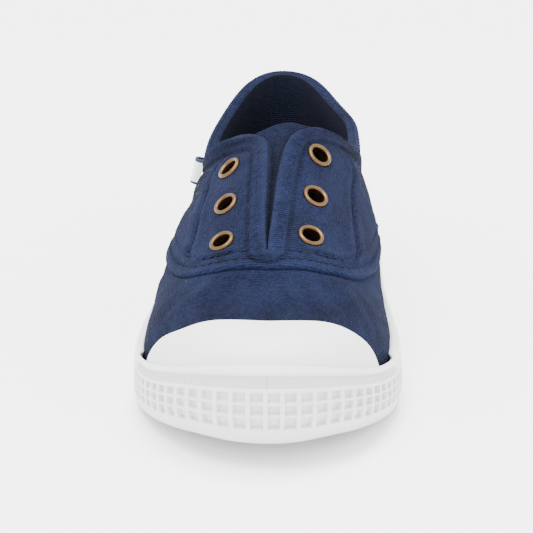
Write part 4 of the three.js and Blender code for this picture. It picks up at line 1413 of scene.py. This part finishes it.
class SneakerColors(bpy.types.PropertyGroup):
    """Colours of the shoe's cloth and rubber."""
    dark: color_prop("Dark canvas", "Canvas where the dye is deepest", (0.0013, 0.0020, 0.0070, 1))
    light: color_prop("Light canvas", "Canvas where it is washed out", (0.0122, 0.0176, 0.0505, 1))
    # The lining colour is also painted on the tongue under the eyelets as painted shade
    lining: color_prop("Lining", "Cloth inside the shoe", (0.0110, 0.0136, 0.0275, 1))
    rubber: color_prop("Rubber", "Sole and toe cap", (0.69, 0.69, 0.715, 1))


class SneakerSizes(bpy.types.PropertyGroup):
    """Sizes of the fine cloth detail."""
    threads: bpy.props.FloatProperty(
        name="Threads", description="Threads of the canvas in a centimetre", default=13.0, min=4, max=40)
    coarse_threads: bpy.props.FloatProperty(
        name="Coarse threads", description="Threads of the tongue's canvas in a centimetre",
        default=9.0, min=4, max=40)


def build_materials():
    """Makes every material once from the colours and thread counts of the panel."""
    colors = bpy.context.scene.sneaker_colors
    sizes = bpy.context.scene.sneaker_sizes
    groups = (weave_group(), wash_group())
    dark, light, lining = tuple(colors.dark), tuple(colors.light), tuple(colors.lining)
    MATERIALS["canvas"] = cloth_material("washed_canvas", groups, dark, light, sizes.threads, lining)
    tongue_light = tuple(c * 0.8 for c in light[:3]) + (1,)
    MATERIALS["tongue"] = cloth_material(
        "coarse_canvas", groups, dark, tongue_light, sizes.coarse_threads, lining)
    lining_light = tuple(c * 1.2 for c in lining[:3]) + (1,)
    MATERIALS["lining"] = cloth_material("lining_cloth", groups, lining, lining_light, 14.0, lining)
    thread_light = tuple(c * 1.1 for c in light[:3]) + (1,)
    MATERIALS["thread"] = cloth_material("navy_thread", groups, dark, thread_light, 30.0, lining, 0.2)
    # Painted shade: the sole gets a darker copy of the cap's rubber
    sole_white_in_painted_shade = tuple(c * SOLE_PAINTED_SHADE for c in colors.rubber[:3]) + (1,)
    MATERIALS["sole"] = rubber_material("sole_rubber", sole_white_in_painted_shade, True)
    MATERIALS["cap"] = rubber_material("cap_rubber", tuple(colors.rubber), False)
    MATERIALS["brass"] = brass_material()
    MATERIALS["tape"] = tape_material(light)


class SneakerOperator(bpy.types.Operator):
    """What every builder of a piece shares."""
    bl_options = {"REGISTER"}

    def execute(self, context):
        if not MATERIALS:
            build_materials()
        self.build(context)
        return {"FINISHED"}


class SNEAKER_OT_upper(SneakerOperator):
    """Canvas upper with its lining"""
    bl_idname = "sneaker.upper"
    bl_label = "Upper"

    def build(self, context):
        make_upper(MATERIALS["canvas"])


class SNEAKER_OT_quarters(SneakerOperator):
    """Canvas quarters with their hems and stitched panels"""
    bl_idname = "sneaker.quarters"
    bl_label = "Quarters"

    def build(self, context):
        make_quarters(MATERIALS["canvas"])


class SNEAKER_OT_toe_cap(SneakerOperator):
    """Smooth rubber toe cap"""
    bl_idname = "sneaker.toe_cap"
    bl_label = "Toe cap"

    def build(self, context):
        make_toe_cap(MATERIALS["cap"])


class SNEAKER_OT_sole(SneakerOperator):
    """Moulded sole with rows of squares"""
    bl_idname = "sneaker.sole"
    bl_label = "Sole"

    def build(self, context):
        make_sole(MATERIALS["sole"])


class SNEAKER_OT_tongue(SneakerOperator):
    """Tongue, and the finish of the insole"""
    bl_idname = "sneaker.tongue"
    bl_label = "Tongue and insole"

    def build(self, context):
        make_tongue(MATERIALS["tongue"])
        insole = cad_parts["insole"]
        insole.data.materials.clear()
        insole.data.materials.append(MATERIALS["lining"])


class SNEAKER_OT_eyelets(SneakerOperator):
    """Six brass eyelets"""
    bl_idname = "sneaker.eyelets"
    bl_label = "Eyelets"

    def build(self, context):
        for name, centre, axis in eyelet_axes:
            make_eyelet(name, centre, axis, MATERIALS["brass"])


class SNEAKER_OT_tab(SneakerOperator):
    """Folded tape tab"""
    bl_idname = "sneaker.tab"
    bl_label = "Side tab"

    def build(self, context):
        make_tab(MATERIALS["tape"])


class SNEAKER_OT_stitches(SneakerOperator):
    """Rows of stitches"""
    bl_idname = "sneaker.stitches"
    bl_label = "Stitches"

    def build(self, context):
        make_stitches(MATERIALS["thread"])


def area_light(name, place_m, target, size, power):
    """A round soft light turned to face a target."""
    data = bpy.data.lights.new(name, "AREA")
    data.shape = "DISK"
    data.size = size
    data.energy = power
    light = bpy.data.objects.new(name, data)
    light.location = place_m
    light.rotation_euler = (Vector(target) - Vector(place_m)).to_track_quat("-Z", "Y").to_euler()
    bpy.context.scene.collection.objects.link(light)


class SNEAKER_OT_stage(bpy.types.Operator):
    """Pale floor, soft studio light and the camera"""
    bl_idname = "sneaker.stage"
    bl_label = "Stage"

    def execute(self, context):
        r = FLOOR["half"]
        mesh = bpy.data.meshes.new("floor")
        mesh.from_pydata([(-r, -r, 0), (r, -r, 0), (r, r, 0), (-r, r, 0)], [], [(0, 1, 2, 3)])
        floor = bpy.data.objects.new("floor", mesh)
        material, net, shader = new_material("pale_floor")
        shader.inputs["Base Color"].default_value = FLOOR["color"]
        shader.inputs["Roughness"].default_value = 0.9
        shader.inputs["Specular IOR Level"].default_value = 0.1
        mesh.materials.append(material)
        context.scene.collection.objects.link(floor)
        world = bpy.data.worlds.new("studio")
        world.use_nodes = True
        background = world.node_tree.nodes["Background"]
        background.inputs["Color"].default_value = (1.0, 1.0, 1.0, 1)
        background.inputs["Strength"].default_value = SKY
        context.scene.world = world
        for name, place_m, size, power in LIGHTS:
            area_light(name, place_m, LIT_SPOT, size, power)
        data = bpy.data.cameras.new("camera")
        data.lens = LENS
        data.sensor_width = SENSOR
        camera = bpy.data.objects.new("camera", data)
        camera.location = CAMERA
        look = Vector(TARGET) - Vector(CAMERA)
        camera.rotation_euler = look.to_track_quat("-Z", "Y").to_euler()
        context.scene.collection.objects.link(camera)
        context.scene.camera = camera
        return {"FINISHED"}


class SNEAKER_PT_panel(bpy.types.Panel):
    """Lists the builders of the pieces"""
    bl_idname = "SNEAKER_PT_panel"
    bl_label = "Canvas sneaker"
    bl_space_type = "VIEW_3D"
    bl_region_type = "UI"
    bl_category = "Sneaker"

    def draw(self, context):
        for name in ("dark", "light", "lining", "rubber"):
            self.layout.prop(context.scene.sneaker_colors, name)
        for name in ("threads", "coarse_threads"):
            self.layout.prop(context.scene.sneaker_sizes, name)
        for builder in BUILDERS:
            self.layout.operator(builder.bl_idname)


BUILDERS = (
    SNEAKER_OT_upper, SNEAKER_OT_quarters, SNEAKER_OT_toe_cap, SNEAKER_OT_sole, SNEAKER_OT_tongue,
    SNEAKER_OT_eyelets, SNEAKER_OT_tab, SNEAKER_OT_stitches, SNEAKER_OT_stage,
)
CLASSES = (SneakerColors, SneakerSizes) + BUILDERS + (SNEAKER_PT_panel,)


def register():
    """Adds the classes and the panel's values."""
    for cls in CLASSES:
        bpy.utils.register_class(cls)
    bpy.types.Scene.sneaker_colors = bpy.props.PointerProperty(type=SneakerColors)
    bpy.types.Scene.sneaker_sizes = bpy.props.PointerProperty(type=SneakerSizes)


def unregister():
    """Takes the panel's values and the classes away again."""
    del bpy.types.Scene.sneaker_sizes
    del bpy.types.Scene.sneaker_colors
    for cls in reversed(CLASSES):
        bpy.utils.unregister_class(cls)


def main():
    """Builds the whole shoe and its stage."""
    register()
    bpy.ops.sneaker.upper()
    bpy.ops.sneaker.quarters()
    bpy.ops.sneaker.toe_cap()
    bpy.ops.sneaker.sole()
    bpy.ops.sneaker.tongue()
    bpy.ops.sneaker.eyelets()
    bpy.ops.sneaker.tab()
    bpy.ops.sneaker.stitches()
    bpy.ops.sneaker.stage()


if __name__ == "__main__":
    main()
